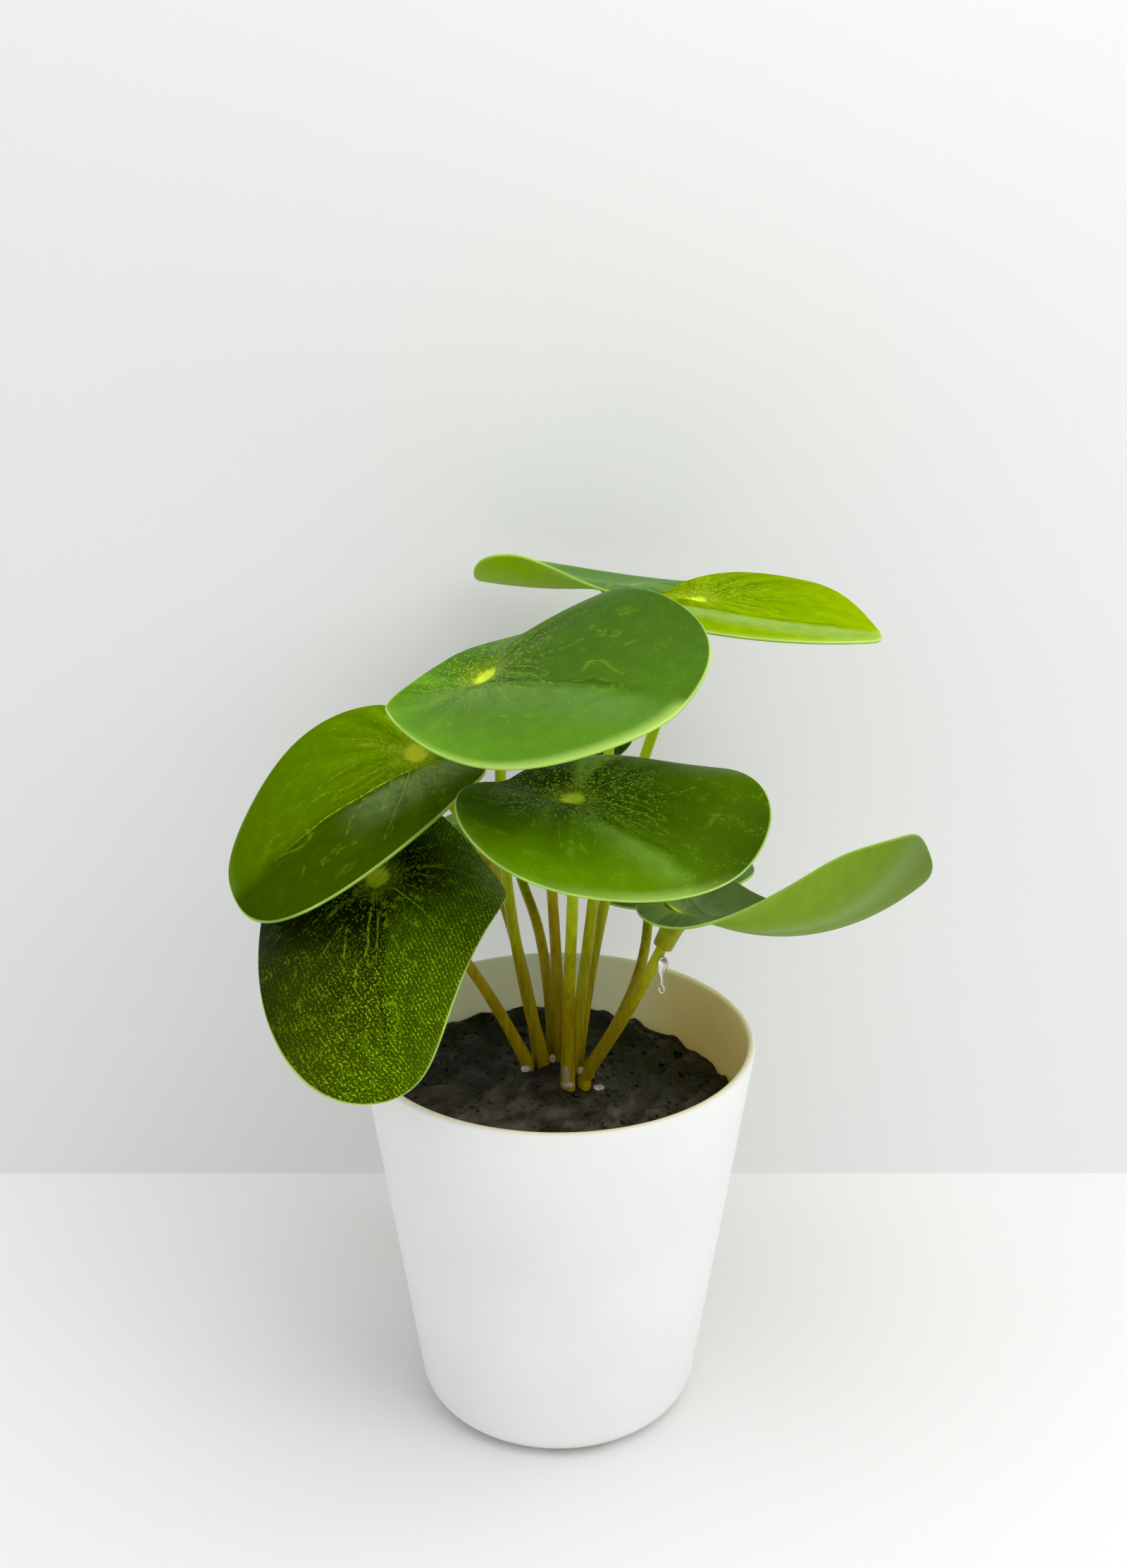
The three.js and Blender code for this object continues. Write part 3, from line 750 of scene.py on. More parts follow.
def socket_material(settings):
    material, tree, shader = new_material("Socket plastic")
    rough, height = grain(tree, scale=800.0, gloss=0.34, spread=0.15)
    uneven = fade(cloud(object_place(tree), 300.0), 0.3, 0.7)
    shown = blend(uneven, toned(settings.socket, 0.6), settings.socket)
    fill(
        shader, shown, rough, height, relief=0.05 * MM, shine=(0.2, (1.0, 0.95, 0.4)),
        depth=(0.3, (1.0, 0.9, 0.1), 1.2 * MM),
    )
    return material


def glue_material(name, clearness):
    material, tree, shader = new_material(name)
    ripple = cloud(object_place(tree), 700.0, 1.0)
    fill(shader, (0.96, 0.97, 0.94), fade(ripple, 0.3, 0.7, 0.03, 0.09), ripple, relief=0.08 * MM)
    wire(clearness, shader["Transmission Weight"])
    wire(1.48, shader["IOR"])
    return material


def paper_material(name, paint, one_sided):
    """Plain pale paper. One-sided paper is clear from behind, so that the plant can be seen from there"""
    material, tree, shader = new_material(name)
    wire(blend(cloud(object_place(tree), 9.0), toned(paint, 0.985), paint), shader["Base Color"])
    wire(0.7, shader["Roughness"])
    if one_sided:
        paper = Signal(tree.nodes["Principled BSDF"].outputs[0])
        clear = add_node(tree, "ShaderNodeBsdfTransparent")
        behind = add_node(tree, "ShaderNodeNewGeometry", "Backfacing")
        shown = add_node(tree, "ShaderNodeMixShader", 0, {0: behind, 1: paper, 2: clear})
        wire(shown, tree.nodes["Material Output"].inputs["Surface"])
    return material


# The blade and its socket: how finely they are drawn, and their sizes in millimetres

SPOKES = 126
RINGS = 30
DIMPLE_DEPTH = 1.5
DIMPLE_RADIUS = 4.5
CREASE_SOFTNESS = 3.0
VEIN_WIDTH = 1.1

# The side of the square around the navel that a blade's UV map covers
FLAT_SIDE = 100.0

# Shares of the way out from the navel to the edge: how far the even rings reach and how they crowd outwards,
# where the veins have sunk in, and the rounded margin with how much of its thickness the blade has there
INNER_SHARE = 0.985
RING_CROWDING = 1.15
VEIN_START = 0.12
MARGIN_SHARES = (0.991, 0.996, 0.999)
MARGIN_THICKNESS = (0.92, 0.75, 0.45)

SOCKET_SEAT = 4.0
SOCKET_LENGTH = 8.0
SOCKET_NECK = 2.45
SOCKET_MOUTH = 2.2
SOCKET_SUNK = 0.25
SOCKET_SIDES = 36
BORE_RADIUS = 1.55
BORE_DEPTH = 4.4


def bend(length, per_mm):
    """Run and rise of an arc that leaves the axis level and turns by the same amount on every millimetre"""
    if abs(per_mm) < 1e-6:
        return length, 0 * length
    return np.sin(length * per_mm) / per_mm, (1 - np.cos(length * per_mm)) / per_mm


def blade_axes(leaf):
    """The blade's directions: along the midrib to the tip, to the left of it, and up out of the blade"""
    heading, rise, roll = (math.radians(leaf[name]) for name in ("heading", "rise", "roll"))
    along = np.array((
        math.cos(heading) * math.cos(rise),
        math.sin(heading) * math.cos(rise),
        math.sin(rise),
    ))
    level = np.array((-math.sin(heading), math.cos(heading), 0.0))
    left = math.cos(roll) * level + math.sin(roll) * np.cross(along, level)
    return along, left, np.cross(along, left)


def blade_points(leaf, u, v, turn, share):
    """The blade's middle surface in millimetres: u runs along the midrib and v to the left, measured on it"""
    half = leaf["length"] / 2
    across = np.abs(v)
    (left_run, left_rise), (right_run, right_rise) = (
        bend(across, math.radians(curl) / (leaf["width"] / 2)) for curl in leaf["curl"]
    )
    run = np.where(v > 0, left_run, right_run)
    lift = np.where(v > 0, left_rise, right_rise)
    soft = (np.sqrt(across ** 2 + CREASE_SOFTNESS ** 2) - CREASE_SOFTNESS) / np.maximum(across, 1e-9)
    fold = math.radians(leaf["crease"]) * soft
    side = np.sign(v) * (run * np.cos(fold) - lift * np.sin(fold))
    wave = leaf["ruffle"] * share ** 2.5 * np.sin(leaf["lobes"] * turn + math.radians(leaf["phase"]))
    dimple = DIMPLE_DEPTH * np.exp(-(u ** 2 + v ** 2) / DIMPLE_RADIUS ** 2)
    height = run * np.sin(fold) + lift * np.cos(fold) + wave - dimple
    tip_bend = math.radians(leaf["arch"][0]) / (half + leaf["offset"])
    base_bend = math.radians(leaf["arch"][1]) / (half - leaf["offset"])
    tip_run, tip_rise = bend(np.abs(u), tip_bend)
    base_run, base_rise = bend(np.abs(u), base_bend)
    forward = np.where(u > 0, tip_run, -base_run)
    climb = np.where(u > 0, tip_rise, base_rise)
    slope = np.where(u > 0, tip_bend, base_bend) * u
    twist = math.radians(leaf["twist"]) * u / leaf["length"]
    sideways = side * np.cos(twist) - height * np.sin(twist)
    normal = side * np.sin(twist) + height * np.cos(twist)
    along, left, up = blade_axes(leaf)
    return (
        np.array(leaf["navel"])
        + np.multiply.outer(forward - normal * np.sin(slope), along)
        + np.multiply.outer(sideways, left)
        + np.multiply.outer(climb + normal * np.cos(slope), up)
    )


def navel_point(leaf):
    zero = np.zeros(1)
    return blade_points(leaf, zero, zero, zero, zero)[0]


def socket_axis(leaf):
    """Half way between the blade's own up and the line that the stem comes in on"""
    coming_in = navel_point(leaf) - np.array(leaf["lean"])
    both = blade_axes(leaf)[2] + coming_in / np.linalg.norm(coming_in)
    return both / np.linalg.norm(both)


def surface_normals(points, faces):
    """Mean normal at every point of an open sheet of triangles and four-sided faces"""
    normals = np.zeros_like(points)
    corners = np.array([face if len(face) == 4 else (*face, face[0]) for face in faces])
    first = points[corners[:, 2]] - points[corners[:, 0]]
    second = points[corners[:, 3]] - points[corners[:, 1]]
    across = np.cross(first, second)
    for corner in range(4):
        np.add.at(normals, corners[:, corner], across)
    return normals / np.linalg.norm(normals, axis=1)[:, None]


def blade_mesh(leaf, settings):
    """Points, faces, flat places, shares and sides of one blade, in millimetres"""
    inner = np.linspace(0, 1, RINGS + 1)[1:] ** RING_CROWDING * INNER_SHARE
    shares = np.concatenate((inner, MARGIN_SHARES))
    swell = np.concatenate((np.ones(len(inner)), MARGIN_THICKNESS))
    turns = turns_of(SPOKES)
    outline_u = leaf["offset"] + leaf["length"] / 2 * np.cos(turns)
    outline_v = leaf["width"] / 2 * np.sin(turns) * (1 + leaf["egg"] * np.cos(turns))
    share = np.concatenate(([0.0], np.repeat(shares, SPOKES)))
    turn = np.concatenate(([0.0], np.tile(turns, len(shares))))
    u = np.concatenate(([0.0], np.outer(shares, outline_u).ravel()))
    v = np.concatenate(([0.0], np.outer(shares, outline_v).ravel()))
    faces = web_faces(len(shares), SPOKES)
    middle = blade_points(leaf, u, v, turn, share)
    normals = surface_normals(middle, faces)
    veins = settings.veins
    off_vein = np.hypot(u, v) * np.abs(np.sin(veins * np.arctan2(v, u) / 2)) * 2 / veins
    sunk = settings.vein_depth / MM * np.exp(-(off_vein / VEIN_WIDTH) ** 2)
    sunk = sunk * (1 - share) * np.minimum(share / VEIN_START, 1)
    middle = middle - normals * sunk[:, None]
    thick = settings.thickness / MM / 2 * np.concatenate(([1.0], np.repeat(swell, SPOKES)))
    out = normals * thick[:, None]
    rim = blade_points(leaf, outline_u, outline_v, turns, np.ones(SPOKES))
    count = len(middle)
    last = count - SPOKES
    skin = faces + [tuple(count + i for i in reversed(face)) for face in faces]
    for j in range(SPOKES):
        after = (j + 1) % SPOKES
        skin.append((last + j, 2 * count + j, 2 * count + after, last + after))
        skin.append((2 * count + j, count + last + j, count + last + after, 2 * count + after))
    sheet = np.stack((u, v), axis=1)
    flat = np.concatenate((sheet, sheet, np.stack((outline_u, outline_v), axis=1)))
    all_shares = np.concatenate((share, share, np.ones(SPOKES)))
    tops = np.concatenate((np.ones(count), np.zeros(count), np.full(SPOKES, 0.5)))
    return np.concatenate((middle + out, middle - out, rim)), skin, flat, all_shares, tops


def socket_mesh(leaf):
    """The moulded socket under the navel, with its blind bore, in millimetres"""
    axis = socket_axis(leaf)
    along = blade_axes(leaf)[0]
    first = along - axis * np.dot(along, axis)
    first = first / np.linalg.norm(first)
    second = np.cross(axis, first)
    navel = navel_point(leaf)
    turns = turns_of(SOCKET_SIDES)
    rings = []
    for radius in (SOCKET_SEAT / 2, SOCKET_SEAT):
        ring = blade_points(leaf, radius * np.cos(turns), radius * np.sin(turns), turns, 0 * turns)
        rings.append(list(ring - axis * SOCKET_SUNK))
    bore_end = SOCKET_LENGTH - BORE_DEPTH

    # How far below the navel each ring lies, and its radius
    profile = [
        (1.3, 3.0), (2.2, 2.6), (3.2, SOCKET_NECK), (5.5, 2.3), (7.2, SOCKET_MOUTH + 0.02),
        (7.8, SOCKET_MOUTH), (SOCKET_LENGTH, SOCKET_MOUTH - 0.15), (SOCKET_LENGTH, BORE_RADIUS + 0.1),
        (7.85, BORE_RADIUS), (bore_end, BORE_RADIUS),
    ]
    for below, radius in profile:
        rings.append(circle(navel - axis * below, first, second, radius, SOCKET_SIDES))
    return loft(navel - axis * SOCKET_SUNK, rings, navel - axis * bore_end)


# Trees that grow meshes

def growing_tree(name, sizes):
    """A geometry node tree for a modifier, which is given a geometry, its sizes and a material"""
    shape = ("Geometry", "Geometry")
    tree, given, out = new_tree(name, "GeometryNodeTree", [shape, *sizes, ("Material", "Material")], [shape])
    tree.is_modifier = True
    return tree, given, out


def end_tree(mesh, material, out):
    """Smooths the grown mesh, makes it real and gives it its material"""
    smooth = add_node(mesh.tree, "GeometryNodeSetShadeSmooth", 0, {"Geometry": mesh})
    real = add_node(mesh.tree, "GeometryNodeRealizeInstances", 0, {"Geometry": smooth})
    dressed = add_node(mesh.tree, "GeometryNodeSetMaterial", 0, {"Geometry": real, "Material": material})
    wire(dressed, out["Geometry"])


def stem_tree():
    """Geometry nodes that grow a tapered, slightly uneven rod along a line"""
    tree, given, out = growing_tree("Stem along a line", [
        ("Foot radius", "Float", 1.4 * MM), ("Tip radius", "Float", 1.15 * MM), ("Flare", "Float", 0.25),
        ("Uneven", "Float", 0.05), ("Points", "Int", 90), ("Sides", "Int", 22),
    ])
    evenly = {"Curve": given["Geometry"], "Count": given["Points"]}
    line = add_node(tree, "GeometryNodeResampleCurve", 0, evenly)
    factor = add_node(tree, "GeometryNodeSplineParameter", "Factor")
    line = add_node(
        tree, "GeometryNodeStoreNamedAttribute", 0, {"Geometry": line, "Name": "along", "Value": factor},
        data_type="FLOAT", domain="POINT",
    )
    taper = add_node(tree, "ShaderNodeMix", 0, {0: factor, 2: given["Foot radius"], 3: given["Tip radius"]})
    spread = given["Flare"] * fall(factor, 0.05, 0.3)
    ripple = (cloud(add_node(tree, "GeometryNodeInputPosition"), 160.0, 1.0) - 0.5) * given["Uneven"]
    radius = taper * (1.0 + (spread + ripple))
    line = add_node(tree, "GeometryNodeSetCurveRadius", 0, {"Curve": line, "Radius": radius})
    profile = {"Radius": 1.0, "Resolution": given["Sides"]}
    profile = add_node(tree, "GeometryNodeCurvePrimitiveCircle", 0, profile)
    skin = {"Curve": line, "Profile Curve": profile, "Scale": radius, "Fill Caps": True}
    end_tree(add_node(tree, "GeometryNodeCurveToMesh", 0, skin), given["Material"], out)
    return tree


# The smallest and the largest crumb, as shares of the radius along its three axes, and the most it is turned
SMALLEST_CRUMB = (0.35, 0.35, 0.3)
LARGEST_CRUMB = (1.1, 0.9, 0.7)
MOST_TURNED = (0.5, 0.5, 6.28)


def crumb_tree():
    """Geometry nodes that scatter small uneven crumbs over a surface"""
    tree, given, out = growing_tree("Loose crumbs", [
        ("Density", "Float", 90000.0), ("Radius", "Float", 0.7 * MM), ("Seed", "Int", 4),
    ])
    seed = given["Seed"]

    def any_between(least, most):
        inputs = {"Min": least, "Max": most, "Seed": seed}
        return add_node(tree, "FunctionNodeRandomValue", 0, inputs, data_type="FLOAT_VECTOR")

    places = {"Mesh": given["Geometry"], "Density": given["Density"], "Seed": seed}
    crumb = {"Subdivisions": 2, "Radius": given["Radius"]}
    crumbs = add_node(tree, "GeometryNodeInstanceOnPoints", 0, {
        "Points": add_node(tree, "GeometryNodeDistributePointsOnFaces", 0, places),
        "Instance": add_node(tree, "GeometryNodeMeshIcoSphere", 0, crumb),
        "Rotation": any_between((0.0, 0.0, 0.0), MOST_TURNED),
        "Scale": any_between(SMALLEST_CRUMB, LARGEST_CRUMB),
    })
    real = add_node(tree, "GeometryNodeRealizeInstances", 0, {"Geometry": crumbs})
    dent = cloud(add_node(tree, "GeometryNodeInputPosition"), 900.0, output="Color")
    dent = reckon_place("SCALE", reckon_place("SUBTRACT", dent, (0.5, 0.5, 0.5)), 0.8 * MM)
    dented = add_node(tree, "GeometryNodeSetPosition", 0, {"Geometry": real, "Offset": dent})
    end_tree(dented, given["Material"], out)
    return tree


def add_nodes_modifier(piece, tree, **values):
    """Puts the tree on the piece, with each named input set by its socket's identifier"""
    modifier = piece.modifiers.new(tree.name, "NODES")
    modifier.node_group = tree
    names = {item.name: item.identifier for item in tree.interface.items_tree if item.in_out == "INPUT"}
    for name, value in values.items():
        modifier[names[socket_label(name)]] = value


# How deep in the soil a stem's foot ends, as a height in millimetres, and the steps along its curve
STEM_FOOT = 72.0
STEM_STEPS = 25


def stem_line(leaf, start):
    """The points of a stem from its foot in the soil to its tip in the socket, in millimetres"""
    axis = socket_axis(leaf)
    navel = navel_point(leaf)
    tip = SOCKET_LENGTH - BORE_DEPTH + SEAT_GAP / MM
    ends = np.array((
        (*leaf["foot"], start),
        leaf["lean"],
        navel - axis * (tip + leaf["reach"]),
        navel - axis * SOCKET_LENGTH,
    ))
    t = np.linspace(0, 1, STEM_STEPS)[:, None]
    curve = (1 - t) ** 3 * ends[0] + 3 * (1 - t) ** 2 * t * ends[1]
    curve = curve + 3 * (1 - t) * t ** 2 * ends[2] + t ** 3 * ends[3]
    return np.concatenate(([(*leaf["foot"], STEM_FOOT)], curve, [navel - axis * tip]))


# The pot and the soil, and how finely they are drawn

LIP_STEPS = 9
INSIDE_FILLET_STEPS = 10
OUTSIDE_FILLET_STEPS = 14
SOIL_FILLET_STEPS = 6
WALL_STEPS = 8
SOIL_SIDES = 180
SOIL_RINGS = 60

# The notches in the foot: their number, the first one's turn in degrees, and the radii between which they cut
NOTCH_COUNT = 3
FIRST_NOTCH = -81
NOTCH_FROM = 24 * MM
NOTCH_TO = 34 * MM

# The soil's mound and bank in millimetres, and the side of the bank in degrees
MOUND_Y = 6
MOUND_RADIUS = 14
MOUND_HEIGHT = 4.6
BANK_TURN = 125
BANK_RADIUS = 45
BANK_HEIGHT = 4.5

# The fine lumps for each metre, and where crumbs lie, as shares of the way out to the wall
LUMP_FINENESS = 230
CRUMBS_FROM = 0.1
CRUMBS_TO = 0.96


def wall_fillet(radius_at_floor, floor, fillet, taper, steps):
    """The round from a flat floor into the tapered wall, whose line meets the floor at the given radius"""
    middle = radius_at_floor + fillet * math.tan(taper) - fillet / math.cos(taper)
    turns = np.linspace(-math.pi / 2, -taper, steps + 1)
    return [(middle + fillet * math.cos(turn), floor + fillet * (1 + math.sin(turn))) for turn in turns]


def pot_taper(pot):
    return math.atan((POT_RIM - pot.foot_radius) / POT_TOP)


def inner_radius(pot, height):
    outer = pot.foot_radius + height * (POT_RIM - pot.foot_radius) / POT_TOP
    return outer - pot.wall


def inner_fillet(pot, steps):
    return wall_fillet(inner_radius(pot, pot.floor), pot.floor, pot.fillet - pot.wall, pot_taper(pot), steps)


def between(start, end):
    steps = np.linspace(0, 1, WALL_STEPS)[1:-1]
    return [tuple(np.array(start) + step * (np.array(end) - start)) for step in steps]


def pot_profile(pot):
    """Radius and height from the inside floor over the lip to the foot, and the count before the lip"""
    lip = pot.wall / 2
    inside = inner_fillet(pot, INSIDE_FILLET_STEPS)
    over = [
        (POT_RIM + lip * (math.cos(turn) - 1), POT_TOP + lip * (math.sin(turn) - 1))
        for turn in np.linspace(math.pi, 0, LIP_STEPS)
    ]
    outside = wall_fillet(pot.foot_radius, 0.0, pot.fillet, pot_taper(pot), OUTSIDE_FILLET_STEPS)[::-1]
    inside += between(inside[-1], over[0])
    return inside + over + between(over[-1], outside[0]) + outside, len(inside)


def soil_height(x, y, edge):
    """Height of the soil's top in millimetres: a low mound around the stems and a bank on one side"""
    off_mound = 1 - np.exp(-(np.hypot(x, y - MOUND_Y) / MOUND_RADIUS) ** 2)
    towards_bank = np.maximum(0, np.cos(np.arctan2(y, x) - math.radians(BANK_TURN)))
    out = np.hypot(x, y) / BANK_RADIUS
    lumps = 0.7 * np.sin(0.42 * x + 1) * np.sin(0.38 * y + 2) + 0.4 * np.sin(0.8 * x - 0.55 * y)
    return edge + MOUND_HEIGHT * (1 - off_mound) + BANK_HEIGHT * towards_bank * out * out + lumps * off_mound


def soil_point(settings, x, y):
    """A point of the CAD's own top with finer lumps, in metres"""
    broad = noise.fractal(Vector((x, y, 0)) * LUMP_FINENESS, 1.0, 2.1, 4)
    return x, y, float(soil_height(x / MM, y / MM, settings.edge / MM)) * MM + settings.lump * broad


def soil_rings(settings, radii, count):
    return [[soil_point(settings, x, y) for x, y, _ in level_ring(radius, 0, count)] for radius in radii]


# One operator for each piece or group of like pieces

class PILEA_OT_make_pot(bpy.types.Operator):
    """Make the pot's thin shell with its rounded lip and the notches in its foot"""

    bl_idname = "pilea.make_pot"
    bl_label = "Make the pot"

    def execute(self, context):
        settings = context.scene.pilea_pot
        profile, inner_count = pot_profile(settings)
        rings = [level_ring(radius, height, settings.sides) for radius, height in profile]
        points, faces = loft((0, 0, settings.floor), rings, (0, 0, 0))
        pot = make_object("pot_shell", points, faces, [pot_material(settings)])
        over_lip = (np.arange(len(profile)) - inner_count) / (LIP_STEPS - 1)
        inside = np.repeat(np.clip(1.0 - over_lip, 0.0, 1.0), settings.sides)
        store(pot, "inside", [1.0, *inside, 0.0])
        turns = [math.radians(FIRST_NOTCH + 360 / NOTCH_COUNT * i) for i in range(NOTCH_COUNT)]
        notches = [self.cutter(settings, turn) for turn in turns]
        for notch in notches:
            cut = pot.modifiers.new("Notch", "BOOLEAN")
            cut.operation = "DIFFERENCE"
            cut.object = notch
        pot = to_plain_mesh(pot)
        for notch in notches:
            bpy.data.objects.remove(notch)
        sharpen(pot, 50)
        seat(pot, "pot", "pot")
        return {"FINISHED"}

    def cutter(self, settings, turn):
        """A block that stands across the foot's edge"""
        out = np.array((math.cos(turn), math.sin(turn)))
        side = np.array((-out[1], out[0])) * settings.notch_width / 2
        near, far = NOTCH_FROM * out, NOTCH_TO * out
        corners = [near - side, far - side, far + side, near + side]
        points = [(*corner, z) for z in (-settings.notch_height, settings.notch_height) for corner in corners]
        faces = [(3, 2, 1, 0), (4, 5, 6, 7)] + [(i, (i + 1) % 4, 4 + (i + 1) % 4, 4 + i) for i in range(4)]
        return make_object("notch_cutter", points, faces, [])


class PILEA_OT_make_soil(bpy.types.Operator):
    """Make the lumpy soil and scatter crumbs over it"""

    bl_idname = "pilea.make_soil"
    bl_label = "Make the soil"

    def execute(self, context):
        settings = context.scene.pilea_soil
        pot = context.scene.pilea_pot
        material = soil_material(settings)
        middle = soil_point(settings, 0, 0)
        wall = inner_radius(pot, settings.edge) - SEAT_GAP
        shares = np.linspace(0, 1, SOIL_RINGS + 1)[1:] ** 0.9
        rings = soil_rings(settings, shares * wall, SOIL_SIDES)
        for radius, height in reversed(inner_fillet(pot, SOIL_FILLET_STEPS)):
            rings.append(level_ring(radius - SEAT_GAP, height + SEAT_GAP, SOIL_SIDES))
        points, faces = loft(middle, rings, (0, 0, pot.floor + SEAT_GAP))
        soil = make_object("soil_cast", points, faces, [material])
        sharpen(soil, 60)
        seat(soil, "soil", "soil")
        patch = soil_rings(settings, np.linspace(CRUMBS_FROM, CRUMBS_TO, 16) * wall, 60)
        points = [middle] + [point for ring in patch for point in ring]
        bare = make_object("soil_crumbs", points, web_faces(len(patch), len(patch[0])), [])
        area = sum(face.area for face in bare.data.polygons)
        add_nodes_modifier(
            bare, crumb_tree(), density=settings.crumb_count / area, radius=settings.crumb_radius,
            seed=settings.seed, material=material,
        )
        seat(to_plain_mesh(bare), "soil")
        return {"FINISHED"}


class PILEA_OT_make_leaves(bpy.types.Operator):
    """Make the ten blades with their veins, rounded margins and moulded sockets"""

    bl_idname = "pilea.make_leaves"
    bl_label = "Make the leaves"

    def execute(self, context):
        settings = context.scene.pilea_leaf
        print_tree = leaf_group(settings.veins)
        socket = socket_material(settings)
        materials = {name: leaf_material(name, look, settings, print_tree) for name, look in LOOKS.items()}
        for i, leaf in enumerate(LEAVES, start=1):
            points, faces, flat, shares, tops = blade_mesh(leaf, settings)
            more, more_faces = socket_mesh(leaf)
            blade_count = len(points)
            faces += [tuple(blade_count + corner for corner in face) for face in more_faces]
            points = np.concatenate((points, more)) * MM
            piece = make_object(f"leaf_blade_{i}", points, faces, [materials[leaf["look"]], socket])
            which = [0] * (len(faces) - len(more_faces)) + [1] * len(more_faces)
            piece.data.polygons.foreach_set("material_index", which)
            rest = len(more)
            store(piece, "share", np.concatenate((shares, np.zeros(rest))))
            store(piece, "top", np.concatenate((tops, np.zeros(rest))))
            store_flat(piece, "Blade", np.concatenate((flat, np.zeros((rest, 2)))) / FLAT_SIDE + 0.5)
            sharpen(piece, 60)
            seat(piece, "leaf", f"leaf_{i}")
        return {"FINISHED"}


class PILEA_OT_make_stems(bpy.types.Operator):
    """Grow the ten stems along their lines"""

    bl_idname = "pilea.make_stems"
    bl_label = "Make the stems"

    def execute(self, context):
        settings = context.scene.pilea_stem
        tree = stem_tree()
        for i, leaf in enumerate(LEAVES, start=1):
            line = bpy.data.curves.new(f"stem_rod_{i}", "CURVE")
            line.dimensions = "3D"
            spline = line.splines.new("POLY")
            places = stem_line(leaf, settings.start / MM) * MM
            spline.points.add(len(places) - 1)
            for point, place in zip(spline.points, places):
                point.co = (*place, 1.0)
            stem = put(f"stem_rod_{i}", line)
            add_nodes_modifier(
                stem, tree, foot_radius=settings.foot_radius, tip_radius=settings.tip_radius,
                material=stem_material(f"Stem {i}", settings, leaf["green"]),
            )
            seat(to_plain_mesh(stem), "stem", f"stem_{i}")
        return {"FINISHED"}


# The hanging drip in millimetres from its top: the bead's line with shares of its radius, the strand under
# it, and the loop at its end with its middle, half sizes, first and last turn in degrees and thinner strand
DRIP_BEAD = [
    (0.0, 0.0, 0.7), (0.0, -0.4, 0.95), (0.05, -1.0, 1.0), (0.05, -1.7, 0.98), (-0.05, -2.4, 0.8),
    (-0.3, -3.0, 0.62), (-0.35, -3.5, 0.5),
]
DRIP_STRAND = [(-0.3, -4.1), (-0.15, -4.8), (-0.1, -5.6), (-0.2, -6.2)]
LOOP_MIDDLE = (-0.1, 0, -7.2)
LOOP_HALF = (0.55, 0.15, 0.85)
LOOP_START = 110
LOOP_END = -230
LOOP_THINNING = 0.85


class PILEA_OT_make_glue(bpy.types.Operator):
    """Make the hanging drip of clear glue and the beads around the stems' feet"""

    bl_idname = "pilea.make_glue"
    bl_label = "Make the glue"

    def execute(self, context):
        settings = context.scene.pilea_glue
        low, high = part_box("glue_drip")
        top = np.array(((low.x + high.x) / 2, (low.y + high.y) / 2, high.z))
        line = [((x, 0, z), share * settings.bead) for x, z, share in DRIP_BEAD]
        line += [((x, 0, z), settings.strand) for x, z in DRIP_STRAND]
        for turn in np.radians(np.linspace(LOOP_START, LOOP_END, 18)):
            round_loop = np.array((math.cos(turn), math.sin(turn / 2), math.sin(turn))) * LOOP_HALF
            line.append((np.array(LOOP_MIDDLE) + round_loop, LOOP_THINNING * settings.strand))
        points = [top + np.array(place) * MM for place, _ in line]
        points, faces = tube(points, [radius for _, radius in line], count=16)
        drip = make_object("glue_strand", points, faces, [glue_material("Clear glue", 0.9)])
        seat(drip, "glue", "glue_drip")
        # The beads are glue whose milky white is also a painted highlight, the glints at the stems' feet
        seat(self.beads(glue_material("Milky glue", 0.8)), "glue")
        return {"FINISHED"}

    def beads(self, material):
        shape = bmesh.new()
        for middle, half in GLUE_BEADS:
            made = bmesh.ops.create_icosphere(shape, subdivisions=3, radius=1.0)
            for vertex in made["verts"]:
                uneven = 1 + 0.12 * noise.noise(vertex.co * 1.7 + Vector(middle))
                stretched = [part * size * uneven for part, size in zip(vertex.co, half)]
                vertex.co = (Vector(middle) + Vector(stretched)) * MM
        mesh = bpy.data.meshes.new("glue_beads")
        shape.to_mesh(mesh)
        shape.free()
        return put_smooth("glue_beads", mesh, [material])


# The stage in metres: half the floor's side, half the wall's width, its height, and the point the lights face
FLOOR_HALF = 3
WALL_HALF = 1.2
WALL_HEIGHT = 1.5
LIT_POINT = (0, 0, 0.11)
SENSOR_WIDTH = 36


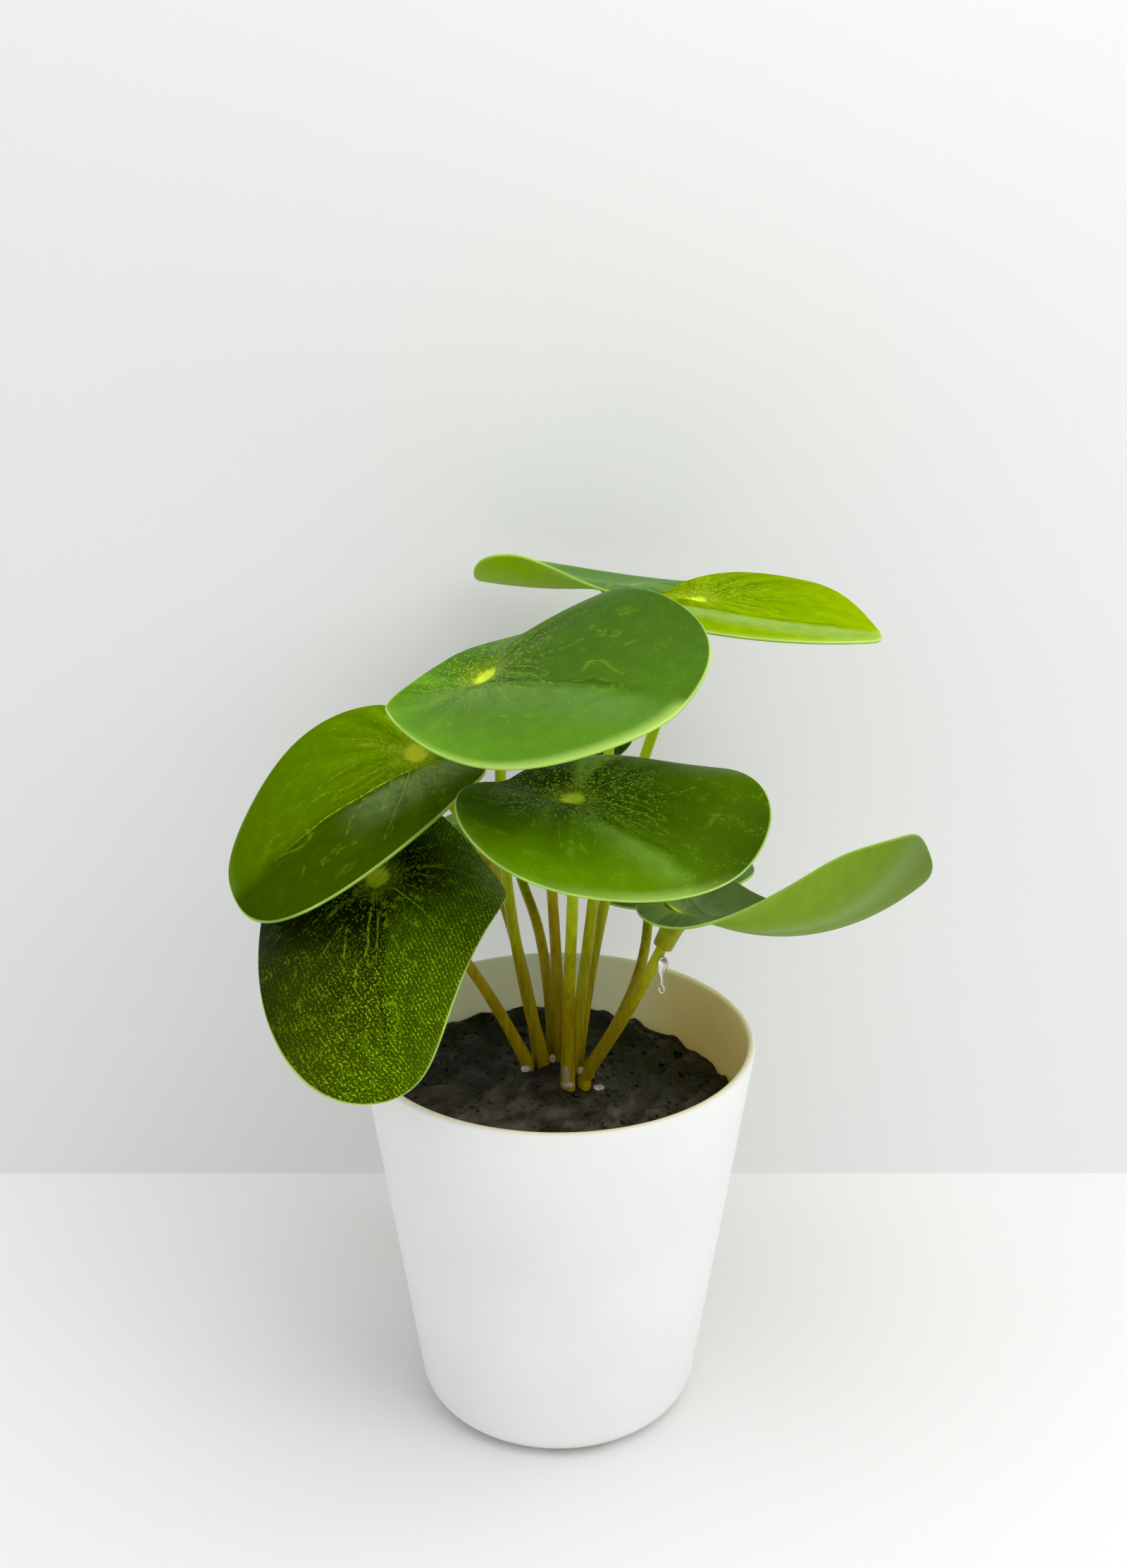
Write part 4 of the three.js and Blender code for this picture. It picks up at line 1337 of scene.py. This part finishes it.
class PILEA_OT_make_stage(bpy.types.Operator):
    """Set the floor, the wall, the lights and the camera"""

    bl_idname = "pilea.make_stage"
    bl_label = "Make the stage"

    def execute(self, context):
        settings = context.scene.pilea_stage
        back = settings.wall_distance
        floor = self.sheet(
            "stage_floor", [(x, y, 0) for x, y in self.corners(FLOOR_HALF, -FLOOR_HALF, FLOOR_HALF)],
            paper_material("Floor paper", settings.paper, False),
        )
        wall = self.sheet(
            "stage_wall", [(x, back, z) for x, z in self.corners(WALL_HALF, 0, WALL_HEIGHT)],
            paper_material("Wall paper", toned(settings.paper, 1.025), True),
        )
        self.area_light(
            "Key", place=(0.55, -0.45, 0.70), size=0.55, power=settings.key_power, tint=(1.0, 0.99, 0.97),
        )
        self.area_light("Top", place=(0.05, -0.02, 0.75), size=0.6, power=settings.top_power, tint=(1, 1, 1))
        world = bpy.data.worlds.new("Soft sky")
        world.use_nodes = True
        sky = world.node_tree.nodes["Background"].inputs
        wire((0.97, 0.98, 1.0), sky["Color"])
        wire(settings.sky, sky["Strength"])
        context.scene.world = world
        lens = bpy.data.cameras.new("Camera")
        lens.lens = settings.lens
        lens.sensor_width = SENSOR_WIDTH
        lens.clip_start = 10 * MM
        camera = put("Camera", lens)
        camera.location = settings.camera_place
        camera.rotation_euler = (math.pi / 2 - settings.camera_tilt, 0, 0)
        context.scene.camera = camera
        context.scene.view_settings.view_transform = "Standard"
        return {"FINISHED"}

    def corners(self, half, low, high):
        return [(-half, low), (half, low), (half, high), (-half, high)]

    def sheet(self, name, points, material):
        return make_object(name, points, [(0, 1, 2, 3)], [material])

    def area_light(self, name, place, size, power, tint):
        """A square soft light that faces the plant"""
        light = bpy.data.lights.new(name, "AREA")
        light.size = size
        light.energy = power
        light.color = tint
        lamp = put(name, light)
        lamp.location = place
        lamp.rotation_euler = (Vector(LIT_POINT) - Vector(place)).to_track_quat("-Z", "Y").to_euler()


STEPS = (
    PILEA_OT_make_stage,
    PILEA_OT_make_pot,
    PILEA_OT_make_soil,
    PILEA_OT_make_leaves,
    PILEA_OT_make_stems,
    PILEA_OT_make_glue,
)


class VIEW3D_PT_pilea(bpy.types.Panel):
    """The steps that make the plant"""

    bl_label = "Potted pilea"
    bl_space_type = "VIEW_3D"
    bl_region_type = "UI"
    bl_category = "Pilea"

    def draw(self, context):
        for step in STEPS:
            self.layout.operator(step.bl_idname)


SETTINGS = {
    "pilea_pot": PileaPotSettings,
    "pilea_soil": PileaSoilSettings,
    "pilea_leaf": PileaLeafSettings,
    "pilea_stem": PileaStemSettings,
    "pilea_glue": PileaGlueSettings,
    "pilea_stage": PileaStageSettings,
}


def register():
    for kind in (*SETTINGS.values(), *STEPS, VIEW3D_PT_pilea):
        bpy.utils.register_class(kind)
    for name, kind in SETTINGS.items():
        setattr(bpy.types.Scene, name, PointerProperty(type=kind))


def unregister():
    for name in SETTINGS:
        delattr(bpy.types.Scene, name)
    for kind in reversed((*SETTINGS.values(), *STEPS, VIEW3D_PT_pilea)):
        bpy.utils.unregister_class(kind)


def main():
    register()
    bpy.ops.pilea.make_stage()
    bpy.ops.pilea.make_pot()
    bpy.ops.pilea.make_soil()
    bpy.ops.pilea.make_leaves()
    bpy.ops.pilea.make_stems()
    bpy.ops.pilea.make_glue()


if __name__ == "__main__":
    main()
